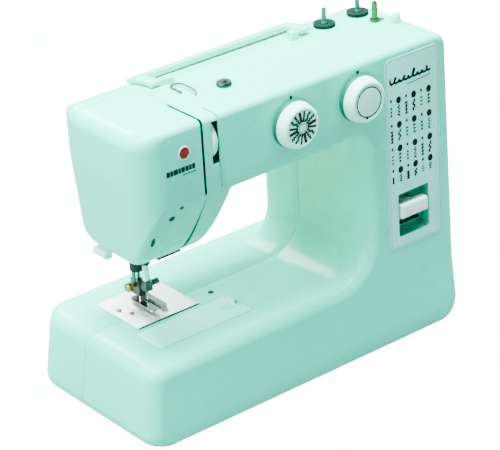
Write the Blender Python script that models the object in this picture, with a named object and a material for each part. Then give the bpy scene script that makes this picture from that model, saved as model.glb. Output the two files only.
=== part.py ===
"""Domestic sewing machine, modelled in metres, +Z up, with its front towards -Y.

Machine coordinates run from the left end of the bed (x), from the front plane of the pillar (y)
and from the table (z). Every object hangs under one empty, MACHINE, which moves that corner so
that the row's origin is under the centre of the whole machine.
"""
import math

import bmesh
import bpy
from mathutils import Matrix, Vector

# ---- driving dimensions ------------------------------------------------------------------------
LENGTH = 0.345          # bed, left end to right end, without the handwheel
FLARE = 0.005           # the right end is this much wider at the table
BED_DEPTH = 0.172
BED_TOP = 0.072
BED_BOTTOM = 0.0012     # lower edge of the casings, just above the table
ARM_DEPTH = 0.138
ARM_UNDER = 0.211
ARM_TOP = 0.281
HEAD_TOP = 0.284
HEAD_LEFT = 0.007
HEAD_BOTTOM = 0.157
HEAD_RIGHT = 0.091
PILLAR_LEFT = 0.247
WALL = 0.0025
SEAM_Y = 0.0965         # plane where the front and the rear casing meet
FACE_X = 0.074          # plane where the face cover meets the front casing
FACE_BEND = 0.215
GAP = 0.0003            # clearance between pieces that touch
SHIFT = (-0.1828, -0.0786, 0.0)

SHAFT_Y = 0.072         # main shaft
SHAFT_Z = 0.229
SHAFT_R = 0.004
LOWER_Y = 0.118         # lower shaft
LOWER_Z = 0.030
WHEEL_R = 0.030
PULLEY_X = 0.3275       # belt pulley on the main shaft
PULLEY_R = 0.019
MOTOR_Z = 0.070
MOTOR_PULLEY_R = 0.0065
BAR_X = 0.0765          # needle bar and presser bar
NEEDLE_Y = 0.104
PRESSER_Y = 0.1175
HOOK_Y = 0.086
KNOB_Z = 0.251
KNOB_X = (0.1667, 0.2405)
KNOB_R = 0.0215
KNOB_DEPTH = 0.0147

for old in list(bpy.data.objects):
    bpy.data.objects.remove(old, do_unlink=True)

MACHINE = bpy.data.objects.new("MACHINE", None)
MACHINE.location = SHIFT
bpy.context.scene.collection.objects.link(MACHINE)


# ---- materials ---------------------------------------------------------------------------------
def material(name, colour, roughness, metallic=0.0):
    made = bpy.data.materials.new(name)
    made.use_nodes = True
    shader = made.node_tree.nodes["Principled BSDF"]
    shader.inputs["Base Color"].default_value = (*colour, 1.0)
    shader.inputs["Roughness"].default_value = roughness
    shader.inputs["Metallic"].default_value = metallic
    made.diffuse_color = (*colour, 1.0)
    return made


MINT = material("mint_plastic", (0.42, 0.83, 0.70), 0.22)
WHITE = material("white_plastic", (0.80, 0.93, 0.90), 0.30)
PANEL = material("panel_plastic", (0.52, 0.82, 0.80), 0.28)
DARK = material("dark_plastic", (0.02, 0.05, 0.045), 0.40)
RUBBER = material("rubber", (0.03, 0.03, 0.03), 0.80)
STEEL = material("steel", (0.62, 0.60, 0.58), 0.30, 1.0)
CHROME = material("chrome", (0.80, 0.80, 0.80), 0.10, 1.0)
BRASS = material("brass", (0.62, 0.42, 0.20), 0.30, 1.0)
CAST = material("cast_metal", (0.35, 0.36, 0.36), 0.55, 1.0)
GLASS = material("glass", (0.90, 0.92, 0.88), 0.05)
FELT = material("felt", (0.03, 0.12, 0.09), 0.95)


# ---- building blocks ---------------------------------------------------------------------------
def place(name, mesh, finish, at=(0, 0, 0)):
    obj = bpy.data.objects.new(name, mesh)
    obj.location = at
    obj.parent = MACHINE
    mesh.materials.clear()
    mesh.materials.append(finish)
    bpy.context.scene.collection.objects.link(obj)
    return obj


def smooth(mesh, degrees=35):
    mesh.shade_smooth()
    mesh.set_sharp_from_angle(angle=math.radians(degrees))


def mesh_of(name, points, faces):
    """Closed mesh from points and faces, with its faces turned outwards."""
    mesh = bpy.data.meshes.new(name)
    mesh.from_pydata([tuple(p) for p in points], [], faces)
    work = bmesh.new()
    work.from_mesh(mesh)
    bmesh.ops.recalc_face_normals(work, faces=work.faces)
    work.to_mesh(mesh)
    work.free()
    smooth(mesh)
    return mesh


def rounded(corners, steps=3):
    """2-D outline through (u, v, radius) corners; every corner gives steps + 1 points."""
    outline = []
    count = len(corners)
    for i, (u, v, radius) in enumerate(corners):
        here = Vector((u, v))
        back = Vector(corners[i - 1][:2]) - here
        on = Vector(corners[(i + 1) % count][:2]) - here
        half = back.angle(on) / 2
        reach = min(radius / math.tan(half), 0.49 * back.length, 0.49 * on.length)
        true_radius = reach * math.tan(half)
        middle = here + (back.normalized() + on.normalized()).normalized() * (
            true_radius / math.sin(half))
        first = here + back.normalized() * reach - middle
        last = here + on.normalized() * reach - middle
        turn = first.angle_signed(last) if true_radius > 1e-7 else 0.0
        for step in range(steps + 1):
            spun = Matrix.Rotation(-turn * step / steps, 2) @ first
            outline.append(middle + spun)
    return outline


def bridged(name, rings):
    """Solid through rings of equal length, its ends filled."""
    size = len(rings[0])
    points = [p for ring in rings for p in ring]
    faces = []
    for r in range(len(rings) - 1):
        for i in range(size):
            j = (i + 1) % size
            a, b = r * size, (r + 1) * size
            faces.append((a + i, a + j, b + j, b + i))
    faces.append(tuple(range(size)))
    faces.append(tuple(range((len(rings) - 1) * size, len(rings) * size)))
    return mesh_of(name, points, faces)


def slab(name, low, high, finish, radius=0.0, axis="z", at=(0, 0, 0), steps=2):
    """Box from low to high whose corners about one axis are rounded."""
    a, b, c = {"x": (1, 2, 0), "y": (0, 2, 1), "z": (0, 1, 2)}[axis]
    corners = [(low[a], low[b], radius), (high[a], low[b], radius),
               (high[a], high[b], radius), (low[a], high[b], radius)]
    outline = rounded(corners, steps) if radius else [Vector(k[:2]) for k in corners]
    rings = []
    for level in (low[c], high[c]):
        ring = []
        for p in outline:
            point = [0.0, 0.0, 0.0]
            point[a], point[b], point[c] = p[0], p[1], level
            ring.append(point)
        rings.append(ring)
    return place(name, bridged(name, rings), finish, at)


AXES = {"x": Vector((1, 0, 0)), "y": Vector((0, 1, 0)), "z": Vector((0, 0, 1))}


def turned(name, profile, finish, at, axis="z", sides=24):
    """Solid turned about an axis through at: profile is (distance along the axis, radius)."""
    swing = AXES["z"].rotation_difference(AXES[axis]).to_matrix()
    rings = []
    for along, radius in profile:
        rings.append([swing @ Vector((radius * math.cos(2 * math.pi * i / sides),
                                      radius * math.sin(2 * math.pi * i / sides), along))
                      for i in range(sides)])
    return place(name, bridged(name, rings), finish, at)


def swept(name, route, radius, finish, sides=8, at=(0, 0, 0)):
    """Round bar along a route of points, with flat ends."""
    curve = bpy.data.curves.new(name, "CURVE")
    curve.dimensions = "3D"
    curve.bevel_depth = radius
    curve.bevel_resolution = max(sides // 4 - 1, 0) * 2
    curve.use_fill_caps = True
    line = curve.splines.new("POLY")
    line.points.add(len(route) - 1)
    for point, spot in zip(line.points, route):
        point.co = (*spot, 1.0)
    return place(name, curve, finish, at)


def boolean(target, tool, operation="DIFFERENCE"):
    """Cuts or joins; the tool stays as a hidden guide."""
    tool.hide_render = True
    tool.display_type = "WIRE"
    change = target.modifiers.new(operation.lower(), "BOOLEAN")
    change.operation = operation
    change.object = tool
    change.solver = "EXACT"
    return target


def cut_slab(target, low, high, radius=0.0, axis="z"):
    tool = slab("cut_" + target.name, low, high, DARK, radius, axis)
    return boolean(target, tool)


def cut_round(target, at, radius, depth, axis="z", sides=20):
    tool = turned("bore_" + target.name, [(0, radius), (depth, radius)], DARK, at, axis, sides)
    return boolean(target, tool)


def join_slab(target, low, high, radius=0.0, axis="z"):
    tool = slab("join_" + target.name, low, high, DARK, radius, axis)
    return boolean(target, tool, "UNION")


def join_round(target, profile, at, axis="z", sides=20):
    tool = turned("join_" + target.name, profile, DARK, at, axis, sides)
    return boolean(target, tool, "UNION")


# ---- casings -----------------------------------------------------------------------------------
# Front view of the whole body as (x, z, corner radius), and how far each edge that follows a
# corner is rounded towards the front and the rear.
BED_LEFT = 0.004                # left end at the bed's top
LEAN = 0.013                    # this end leans out by so much down to the table
DRAFT = 0.0055                  # and the front by this, from DRAFT_TOP down
DRAFT_TOP = 0.058
DRIFT = 0.010                   # the pillar's inner wall runs this far left behind the seam
PILLAR_EDGE = 6                 # that wall's place in UPPER
TOP_CURVE = (0.026, 0.060)      # the top falls away in this ellipse towards the rear
HEAD_CURVE = (0.045, 0.065)     # and so does the head's left end
BODY = [
    ((BED_LEFT - LEAN, BED_BOTTOM, 0.012), 0.002, 0.006),
    ((LENGTH + FLARE, BED_BOTTOM, 0.020), 0.007, 0.014),
    ((LENGTH, ARM_TOP, 0.013), 0.005, TOP_CURVE),
    ((HEAD_LEFT, HEAD_TOP, 0.014), 0.024, HEAD_CURVE),
    ((HEAD_LEFT, 0.235, 0.030), 0.024, HEAD_CURVE),
    ((HEAD_LEFT + 0.007, HEAD_BOTTOM, 0.012), 0.0, 0.008),
    ((HEAD_RIGHT - 0.009, HEAD_BOTTOM, 0.007), 0.006, 0.006),
    ((HEAD_RIGHT + 0.009, ARM_UNDER, 0.020), 0.009, 0.010),
    ((PILLAR_LEFT, ARM_UNDER, 0.024), (0.014, 0.030), 0.010),
    ((PILLAR_LEFT - 0.001, BED_TOP, 0.040), 0.011, 0.011),
    ((BED_LEFT, BED_TOP, 0.014), 0.015, 0.030),
]
UPPER = BODY[2:9] + [
    ((PILLAR_LEFT - 0.001, BED_TOP - GAP, 0.040), 0.0, 0.0),
    ((PILLAR_LEFT - 0.090, BED_TOP - GAP, 0.001), 0.0, 0.0),
    ((PILLAR_LEFT - 0.090, BED_TOP - 0.014, 0.001), 0.0, 0.0),
    ((LENGTH + 0.0035, BED_TOP - 0.014, 0.001), 0.007, 0.012),
]
BED = [
    ((BED_LEFT - LEAN, BED_BOTTOM, 0.012), 0.0, 0.006),
    ((LENGTH + FLARE, BED_BOTTOM, 0.020), 0.0, 0.016),
    ((LENGTH + FLARE - 0.0012, BED_TOP, 0.010), 0.0, 0.012),
    ((BED_LEFT, BED_TOP, 0.014), 0.0, 0.030),
]
REAR_CURVED = (2, 3, 4)   # edges whose rear curve starts in front of the seam
HEAD_EDGE = 5             # the head's underside, whose front recedes in a curve
HEAD_RISE = 0.060
HEAD_RUN = 0.038
FRONT_STEPS = (0.0, 0.0006, 0.0022, 0.005, 0.009, 0.014, 0.020, 0.027, 0.033, 0.0385)
REAR_STEPS = (0.0, 0.0012, 0.004, 0.009, 0.015, 0.022, 0.031)


def quarter(curve, depth):
    """Inset of a rounded edge at a depth behind the face that it rounds into."""
    inset, run = curve if isinstance(curve, tuple) else (curve, curve)
    if inset <= 0 or depth >= run:
        return 0.0
    return inset * (1 - math.sqrt(1 - (1 - max(depth, 0.0) / run) ** 2))


def section(body, insets, y):
    """One ring of a casing: the outline with every edge moved inwards by its own inset."""
    count = len(body)
    lines = []
    for i in range(count):
        a = Vector(body[i][0][:2])
        b = Vector(body[(i + 1) % count][0][:2])
        run = (b - a).normalized()
        lines.append((a + Vector((-run.y, run.x)) * insets[i], run))
    corners = []
    for i in range(count):
        (p, d), (q, e) = lines[i - 1], lines[i]
        cross = d.x * e.y - d.y * e.x
        t = ((q - p).x * e.y - (q - p).y * e.x) / cross
        spot = p + d * t
        shrink = min(insets[i - 1], insets[i])
        radius = body[i][0][2] - shrink if cross > 0 else body[i][0][2] + shrink
        corners.append((spot.x, spot.y, max(radius, 0.0008)))
    return [Vector((p.x, y, p.y)) for p in rounded(corners, 3)]


def front_section(body, y, wall=0.0):
    """Ring at depth y of the front half, or of its hollow when wall is the wall's thickness."""
    depth = y - wall
    insets = [wall + quarter(edge[1], depth) for edge in body]
    for i in REAR_CURVED:
        insets[i] = max(insets[i], wall + quarter(body[i][2], ARM_DEPTH - wall - y))
    insets[HEAD_EDGE] = wall + HEAD_RISE * max(0.0, 1 - max(depth, 0.0) / HEAD_RUN) ** 2.2
    return section(body, insets, y)


def rear_section(body, y, rear, wall=0.0):
    insets = [wall + quarter(edge[2], rear - wall - y) for edge in body]
    if body is UPPER:
        insets[PILLAR_EDGE] -= DRIFT * (y - SEAM_Y) / (ARM_DEPTH - SEAM_Y)
    return section(body, insets, y)


def rear_block(name, body, start, rear, wall=0.0):
    """Solid from the plane y = start to the rear face, rounded there."""
    rings = [rear_section(body, start, rear, wall)]
    for step in reversed(REAR_STEPS):
        rings.append(rear_section(body, rear - wall - step, rear, wall))
    return place(name, bridged(name, rings), MINT)


def lean_out(mesh):
    """Splits a casing at DRAFT_TOP and leans its front out below that."""
    work = bmesh.new()
    work.from_mesh(mesh)
    everything = work.verts[:] + work.edges[:] + work.faces[:]
    bmesh.ops.bisect_plane(work, geom=everything, plane_co=(0, 0, DRAFT_TOP), plane_no=(0, 0, 1))
    for vertex in work.verts:
        below = max(0.0, 1 - vertex.co.z / DRAFT_TOP)
        vertex.co.y -= DRAFT * below * max(0.0, 1 - vertex.co.y / SEAM_Y)
    work.to_mesh(mesh)
    work.free()
    smooth(mesh)
    return mesh


def front_shell(name):
    """Hollow front half of the body: outer rings to the seam, and inner rings back."""
    rings = [front_section(BODY, y) for y in FRONT_STEPS]
    rings.append(front_section(BODY, 0.075))
    rings.append(front_section(BODY, SEAM_Y - GAP / 2))
    rings.append(front_section(BODY, SEAM_Y - GAP / 2, WALL))
    rings.append(front_section(BODY, 0.075, WALL))
    for y in reversed(FRONT_STEPS):
        rings.append(front_section(BODY, y + WALL, WALL))
    return place(name, lean_out(bridged(name, rings)), MINT)


def rear_shell(name):
    start = SEAM_Y + GAP / 2
    shell = rear_block(name, UPPER, start, ARM_DEPTH)
    boolean(shell, rear_block("join_bed", BED, start, BED_DEPTH), "UNION")
    hollow = rear_block("hollow_upper", UPPER, start - 0.002, ARM_DEPTH, WALL)
    boolean(hollow, rear_block("hollow_bed", BED, start - 0.002, BED_DEPTH, WALL), "UNION")
    boolean(shell, hollow)
    return shell


front = front_shell("front_cover")
rear = rear_shell("rear_cover")

face = front_shell("face_cover")


def face_block(name, side, lean):
    """Everything left of the face cover's seam, which leans left below FACE_BEND."""
    right = FACE_X + side
    corners = ((-0.02, 0.10), (right - lean, 0.10), (right, FACE_BEND), (right, 0.30), (-0.02, 0.30))
    rings = [[Vector((x, y, z)) for x, z in corners] for y in (-0.02, 0.12)]
    return place(name, bridged(name, rings), DARK)


boolean(face, face_block("keep_face", -GAP / 2, 0.031), "INTERSECT")
boolean(front, face_block("cut_front", GAP / 2, 0.022))

# thread slots, and the opening under the head for the bars and the lamp
cut_slab(face, (FACE_X - 0.0026, -0.02, FACE_BEND), (FACE_X + 0.001, 0.046, 0.30))
cut_slab(front, (0.0889, -0.02, 0.2165), (0.0905, 0.020, 0.30))
for shell in (front, face, rear):
    cut_slab(shell, (0.028, 0.062, 0.150), (0.084, 0.131, 0.1665), 0.004)

# window of the tension wheel, knob shafts, panel seat and lever hole in the front
TENSION = (0.0853, 0.0166, 0.2595)
cut_slab(front, (0.0818, -0.01, 0.2400), (0.0893, 0.010, 0.2790))
for knob_x in KNOB_X:
    cut_round(front, (knob_x, -0.005, KNOB_Z), 0.0048, 0.012, "y")
PANEL_LOW = (0.2712, 0.0902)
PANEL_HIGH = (0.3338, 0.2748)
LEVER_LOW = (0.2820, 0.1010)
LEVER_HIGH = (0.3190, 0.1440)
join_slab(front, (LEVER_LOW[0] - 0.003, 0.0010, LEVER_LOW[1] - 0.003),
          (LEVER_HIGH[0] + 0.003, 0.0135, LEVER_HIGH[1] + 0.003))
cut_slab(front, (PANEL_LOW[0] - GAP, -0.01, PANEL_LOW[1] - GAP),
         (PANEL_HIGH[0] + GAP, 0.0014, PANEL_HIGH[1] + GAP), 0.0063, "y")
cut_slab(front, (LEVER_LOW[0], -0.01, LEVER_LOW[1]), (LEVER_HIGH[0], 0.0115, LEVER_HIGH[1]),
         0.002, "y")
cut_slab(front, (0.2945, 0.005, 0.1125), (0.3065, 0.020, 0.1345))
cut_slab(front, (0.2835, 0.005, 0.1055), (0.3175, 0.020, 0.1110))

# seats and holes in the bed's top
PLATE_LOW = (0.0435, 0.0745)
PLATE_HIGH = (0.1100, 0.1380)
COVER_LOW = (0.0360, 0.0320)
COVER_HIGH = (0.1370, 0.0680)
BUTTON = (0.1300, 0.0830)
PLATE_THICK = 0.0012
SEAT_Z = BED_TOP + 0.0002 - PLATE_THICK - GAP
for shell in (front, rear):
    cut_slab(shell, (PLATE_LOW[0] - GAP, PLATE_LOW[1] - GAP, SEAT_Z),
             (PLATE_HIGH[0] + GAP, PLATE_HIGH[1] + GAP, 0.08))
    cut_slab(shell, (PLATE_LOW[0] + 0.003, PLATE_LOW[1] + 0.003, 0.06),
             (PLATE_HIGH[0] - 0.003, PLATE_HIGH[1] - 0.003, 0.08))
    cut_slab(shell, (0.010, 0.008, 0.0), (0.3265, 0.160, 0.0070), 0.012)
cut_slab(front, (COVER_LOW[0] - GAP, COVER_LOW[1] - GAP, SEAT_Z),
         (COVER_HIGH[0] + GAP, COVER_HIGH[1] + GAP, 0.08), 0.003)
cut_slab(front, (COVER_LOW[0] + 0.004, COVER_LOW[1] + 0.004, 0.06),
         (COVER_HIGH[0] - 0.004, COVER_HIGH[1] - 0.004, 0.08), 0.002)
cut_round(front, (*BUTTON, 0.066), 0.0027, 0.010)
cut_slab(front, (PLATE_LOW[0] - GAP, PLATE_LOW[1] - 0.0023, 0.066),
         (PLATE_HIGH[0] + GAP, PLATE_LOW[1] + 0.001, 0.08))

# holes in the top: spool pins, winder slot; and the bosses that carry the handle
PINS = ((0.2790, 0.0880), (0.3180, 0.0880))
WINDER = (0.3175, 0.0640)
WINDER_RUN = 0.007
HANDLE_Y = 0.084
HANDLE_Z = 0.2866
for pin in PINS:
    cut_round(front, (*pin, 0.270), 0.0034, 0.02)
cut_slab(front, (WINDER[0] - 0.0036, WINDER[1] - 0.0036, 0.270),
         (WINDER[0] + WINDER_RUN + 0.0036, WINDER[1] + 0.0036, 0.290), 0.0035)
BOSSES = ((0.0985, 0.1065), (0.2355, 0.2435))
for boss_x in BOSSES:
    join_slab(front, (boss_x[0], HANDLE_Y - 0.004, 0.2797),
              (boss_x[1], HANDLE_Y + 0.004, HANDLE_Z + 0.003), 0.002, "x")
    cut_round(front, (boss_x[0] - 0.001, HANDLE_Y, HANDLE_Z), 0.0018, 0.011, "x", 12)
cut_round(front, (0.335, SHAFT_Y, SHAFT_Z), 0.0065, 0.015, "x")

# power inlet and switch openings in the right end
SOCKET_LOW = (0.1060, 0.0280)
SOCKET_HIGH = (0.1320, 0.0500)
SWITCH_LOW = (0.1100, 0.0750)
SWITCH_HIGH = (0.1280, 0.0950)
cut_slab(rear, (0.3300, SOCKET_LOW[0] - GAP, SOCKET_LOW[1] - GAP),
         (0.3600, SOCKET_HIGH[0] + GAP, SOCKET_HIGH[1] + GAP))
cut_slab(rear, (0.3300, SWITCH_LOW[0], SWITCH_LOW[1]), (0.3600, SWITCH_HIGH[0], SWITCH_HIGH[1]),
         0.001, "x")


# ---- fixed pieces outside ----------------------------------------------------------------------
BASE_Z = 0.0030
slab("base_plate", (0.0105, 0.0085, BASE_Z), (0.3260, 0.1595, BASE_Z + 0.0025), DARK, 0.0115)
FEET = {"front_left": (0.030, 0.028), "front_right": (0.312, 0.028),
        "rear_left": (0.034, 0.140), "rear_right": (0.312, 0.140)}
for side, spot in FEET.items():
    turned("foot_" + side, [(0, 0.0085), (0.0010, 0.0095), (BASE_Z - GAP, 0.0095)], RUBBER,
           (*spot, 0.0), sides=20)

panel = slab("control_panel", (PANEL_LOW[0], -0.0004, PANEL_LOW[1]),
             (PANEL_HIGH[0], 0.0011, PANEL_HIGH[1]), PANEL, 0.006, "y")
cut_slab(panel, (LEVER_LOW[0], -0.01, LEVER_LOW[1]), (LEVER_HIGH[0], 0.01, LEVER_HIGH[1]), 0.002, "y")

plate = slab("needle_plate", (*PLATE_LOW, BED_TOP + 0.0002 - PLATE_THICK), (*PLATE_HIGH, BED_TOP + 0.0002),
             STEEL, 0.0015)
DOG_ROWS = (BAR_X - 0.0050, BAR_X + 0.0050)
for row_x in DOG_ROWS:
    cut_slab(plate, (row_x - 0.0019, 0.0915, 0.06), (row_x + 0.0019, 0.1175, 0.08))
cut_slab(plate, (BAR_X - 0.0025, NEEDLE_Y - 0.0009, 0.06), (BAR_X + 0.0025, NEEDLE_Y + 0.0009, 0.08))
for number, spot in enumerate(((0.0557, 0.1005), (0.0508, 0.1130)), 1):
    turned(f"plate_screw_{number}", [(0, 0.0024), (0.0005, 0.0024), (0.0009, 0.0018)], STEEL,
           (*spot, BED_TOP + 0.0002 + GAP), sides=16)

wire_z = ARM_TOP + 0.0036
swept("thread_guide_wire", [(0.1010, 0.0440, wire_z), (0.1040, 0.0470, wire_z + 0.0008),
                            (0.1050, 0.0540, wire_z + 0.0016), (0.1050, 0.0660, wire_z + 0.0016),
                            (0.1038, 0.0720, wire_z + 0.0010), (0.1000, 0.0750, wire_z),
                            (0.0960, 0.0720, wire_z), (0.0955, 0.0560, wire_z)], 0.0009, STEEL)
turned("pretension_disc", [(0, 0.0065), (0.0014, 0.0070), (0.0014, 0.0035), (0.0022, 0.0035),
                           (0.0022, 0.0068), (0.0034, 0.0062), (0.0034, 0.0030), (0.0052, 0.0026)],
       STEEL, (0.1320, 0.0450, ARM_TOP + 0.0022), sides=20)
turned("winder_stop", [(0, 0.0045), (0.0060, 0.0045), (0.0080, 0.0030)], MINT,
       (0.3290, 0.0490, ARM_TOP + 0.0004), sides=16)
for side, pin in zip(("left", "right"), PINS):
    turned("spool_felt_" + side, [(0, 0.0100), (0.0024, 0.0100), (0.0024, 0.0040)], FELT,
           (*pin, ARM_TOP + 0.0010), sides=24)
    cut_round(bpy.data.objects["spool_felt_" + side], (*pin, ARM_TOP - 0.001), 0.0034, 0.006)
slab("head_thread_guide", (0.0480, 0.0420, 0.1488), (0.0722, 0.0452, 0.1562), DARK, 0.0008, "x")
slab("thread_cutter", (0.0150, 0.0720, 0.1505), (0.0225, 0.0900, 0.1570), WHITE, 0.0015, "y")

socket = slab("power_socket", (0.3330, *SOCKET_LOW), (0.3494, *SOCKET_HIGH), DARK)
cut_slab(socket, (0.3370, SOCKET_LOW[0] + 0.0025, SOCKET_LOW[1] + 0.0025),
         (0.3600, SOCKET_HIGH[0] - 0.0025, SOCKET_HIGH[1] - 0.0025))


# ---- inner frame, bushes, motor, belts, lamp ------------------------------------------------------
frame = slab("frame", (0.2520, 0.0860, 0.0085), (0.2700, 0.1220, 0.2670), CAST, 0.002)
join_slab(frame, (0.0225, 0.0820, 0.0085), (0.3200, 0.1500, 0.0120))
join_slab(frame, (0.0880, 0.0860, 0.2400), (0.2560, 0.1200, 0.2660), 0.003, "x")
BEARINGS = ((0.0950, 0.1050), (0.2550, 0.2670))
for bearing in BEARINGS:
    join_slab(frame, (bearing[0], SHAFT_Y - 0.011, 0.2180), (bearing[1], 0.0900, 0.2440), 0.004, "x")
    cut_round(frame, (bearing[0] - 0.01, SHAFT_Y, SHAFT_Z), 0.0063, 0.035, "x")
join_slab(frame, (0.0628, 0.0940, 0.2400), (0.0900, 0.1230, 0.2640), 0.002, "z")
join_slab(frame, (0.0628, 0.0940, 0.1700), (0.0662, 0.1250, 0.2420), 0.001, "z")
join_slab(frame, (0.0645, 0.0965, 0.1700), (0.0818, 0.1250, 0.1780), 0.0012, "z")
for bar_y in (NEEDLE_Y, PRESSER_Y):
    cut_round(frame, (BAR_X, bar_y, 0.160), 0.0036, 0.02)
    cut_round(frame, (BAR_X, bar_y, 0.230), 0.0036, 0.05)
cut_round(frame, (0.240, LOWER_Y, LOWER_Z), 0.0046, 0.040, "x")
for name, bearing in zip(("bush_left", "bush_right"), BEARINGS):
    bush = turned(name, [(0, 0.0058), (bearing[1] - bearing[0], 0.0058)], BRASS,
                  (bearing[0], SHAFT_Y, SHAFT_Z), "x", 24)
    cut_round(bush, (bearing[0] - 0.005, SHAFT_Y, SHAFT_Z), 0.0043, 0.03, "x", 24)

MOTOR_Y = 0.0600
turned("motor", [(0, 0.0080), (0.006, 0.0080), (0.006, 0.0190), (0.009, 0.0215), (0.045, 0.0215),
                         (0.048, 0.0190), (0.048, 0.0080), (0.053, 0.0080)], CAST,
               (0.2640, MOTOR_Y, MOTOR_Z), "x", 24)


def belt(name, low_x, high_x, top, bottom, thick, finish):
    """Endless band round two pulleys, each given as (y, z, radius)."""
    rings = []
    for x, extra in ((low_x, thick), (high_x, thick), (high_x, 0.0), (low_x, 0.0)):
        ring = []
        lean = math.asin((top[2] - bottom[2]) / math.dist(top[:2], bottom[:2]))
        tilt = math.atan2(bottom[0] - top[0], top[1] - bottom[1])
        for y, z, radius, start, sweep in ((*top, -lean, math.pi + 2 * lean),
                                           (*bottom, math.pi + lean, math.pi - 2 * lean)):
            for i in range(15):
                angle = start + sweep * i / 14 + tilt
                reach = radius + GAP + extra
                ring.append(Vector((x, y + reach * math.cos(angle), z + reach * math.sin(angle))))
        rings.append(ring)
    size = len(rings[0])
    points = [p for ring in rings for p in ring]
    faces = []
    for r in range(4):
        for i in range(size):
            j = (i + 1) % size
            a, b = r * size, (r + 1) % 4 * size
            faces.append((a + i, a + j, b + j, b + i))
    return place(name, mesh_of(name, points, faces), finish)


TIMING_X = (0.2845, 0.2905)
TIMING_R = 0.0085
belt("drive_belt", PULLEY_X - 0.0015, PULLEY_X + 0.0045, (SHAFT_Y, SHAFT_Z, PULLEY_R),
     (MOTOR_Y, MOTOR_Z, MOTOR_PULLEY_R), 0.0018, RUBBER)
belt("timing_belt", TIMING_X[0], TIMING_X[1], (SHAFT_Y, SHAFT_Z, TIMING_R),
     (LOWER_Y, LOWER_Z, TIMING_R), 0.0015, RUBBER)
turned("lamp_holder", [(0, 0.0070), (0.004, 0.0095), (0.020, 0.0095), (0.024, 0.0060)], WHITE,
       (0.0400, 0.0840, 0.1900), sides=20)
turned("lamp_bulb", [(0, 0.0020), (0.0015, 0.0052), (0.006, 0.0078), (0.012, 0.0080),
                     (0.018, 0.0055)], GLASS, (0.0400, 0.0840, 0.1715), sides=16)
turned("bobbin_case", [(0.0436, 0.0150), (0.0575, 0.0150), (0.0575, 0.0130), (0.0450, 0.0130)], DARK,
       (BAR_X, HOOK_Y - 0.003, 0), sides=28)

# ---- drive: handwheel, shafts, hook ---------------------------------------------------------------
turned("main_shaft", [(0.0880, 0.0110), (0.0925, 0.0110), (0.0925, SHAFT_R), (0.3487, SHAFT_R)], STEEL,
       (0, SHAFT_Y, SHAFT_Z), "x", 20)
hub = turned("shaft_pulley", [(0.2838, TIMING_R), (0.2912, TIMING_R), (0.2912, 0.0070), (0.3235, 0.0070),
                              (0.3235, 0.0205), (0.3255, 0.0205), (0.3258, PULLEY_R),
                              (0.3322, PULLEY_R), (0.3325, 0.0205), (0.3345, 0.0205)], DARK,
             (0, SHAFT_Y, SHAFT_Z), "x", 32)
cut_round(hub, (0.27, SHAFT_Y, SHAFT_Z), SHAFT_R + GAP, 0.08, "x", 20)
turned("handwheel", [(0.3492, 0.0260), (0.3506, 0.0290), (0.3530, WHEEL_R), (0.3620, WHEEL_R),
                             (0.3648, 0.0288), (0.3662, 0.0262), (0.3662, 0.0180), (0.3640, 0.0168),
                             (0.3640, 0.0060)], WHITE, (0, SHAFT_Y, SHAFT_Z), "x", 40)
turned("clutch_knob", [(0.3643, 0.0150), (0.3700, 0.0150), (0.3720, 0.0130)], WHITE,
       (0, SHAFT_Y, SHAFT_Z), "x", 24)
turned("motor_pulley", [(0.3240, 0.0080), (0.3255, 0.0080), (0.3258, MOTOR_PULLEY_R),
                        (0.3322, MOTOR_PULLEY_R), (0.3325, 0.0080), (0.3340, 0.0080)], STEEL,
       (0, MOTOR_Y, MOTOR_Z), "x", 20)
turned("lower_shaft", [(0.0690, 0.0045), (0.0840, 0.0045), (0.0840, 0.0035), (0.2830, 0.0035),
                       (0.2830, 0.0100), (0.2838, TIMING_R), (0.2912, TIMING_R), (0.2920, 0.0100),
                       (0.2930, 0.0100)], STEEL, (0, LOWER_Y, LOWER_Z), "x", 24)
turned("hook", [(0.0135, 0.0030), (0.0240, 0.0030), (0.0240, 0.0090), (0.0360, 0.0090), (0.0360, 0.0035),
                (0.0400, 0.0035), (0.0400, 0.0193), (0.0600, 0.0193), (0.0600, 0.0165), (0.0430, 0.0165)],
       STEEL, (BAR_X, HOOK_Y - 0.003, 0), sides=32)
turned("bobbin", [(0.0455, 0.0102), (0.0467, 0.0102), (0.0467, 0.0040), (0.0560, 0.0040), (0.0560, 0.0102),
                  (0.0572, 0.0102)], WHITE, (BAR_X, HOOK_Y - 0.003, 0), sides=24)

# ---- needle bar, take-up lever, presser bar, feed ---------------------------------------------------
CLAMP_Z = (0.0875, 0.0960)
turned("needle_bar", [(CLAMP_Z[1] + GAP, 0.0032), (0.1125, 0.0032), (0.1130, 0.0048), (0.1215, 0.0048),
                      (0.1220, 0.0032), (0.2480, 0.0032)], CHROME, (BAR_X, NEEDLE_Y, 0), sides=16)
clamp = slab("needle_clamp", (BAR_X - 0.0040, NEEDLE_Y - 0.0045, CLAMP_Z[0]),
             (BAR_X + 0.0040, NEEDLE_Y + 0.0042, CLAMP_Z[1]), STEEL, 0.0015)
join_round(clamp, [(0, 0.0012), (0.0025, 0.0012), (0.0025, 0.0028), (0.0085, 0.0028)],
           (BAR_X + 0.0035, NEEDLE_Y, 0.0920), "x", 16)
turned("needle", [(0.0640, 0.0001), (0.0675, 0.0004), (0.0810, 0.00045), (0.0825, 0.0008),
                  (CLAMP_Z[0] - GAP, 0.0008)], CHROME, (BAR_X, NEEDLE_Y, 0), sides=10)

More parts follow.
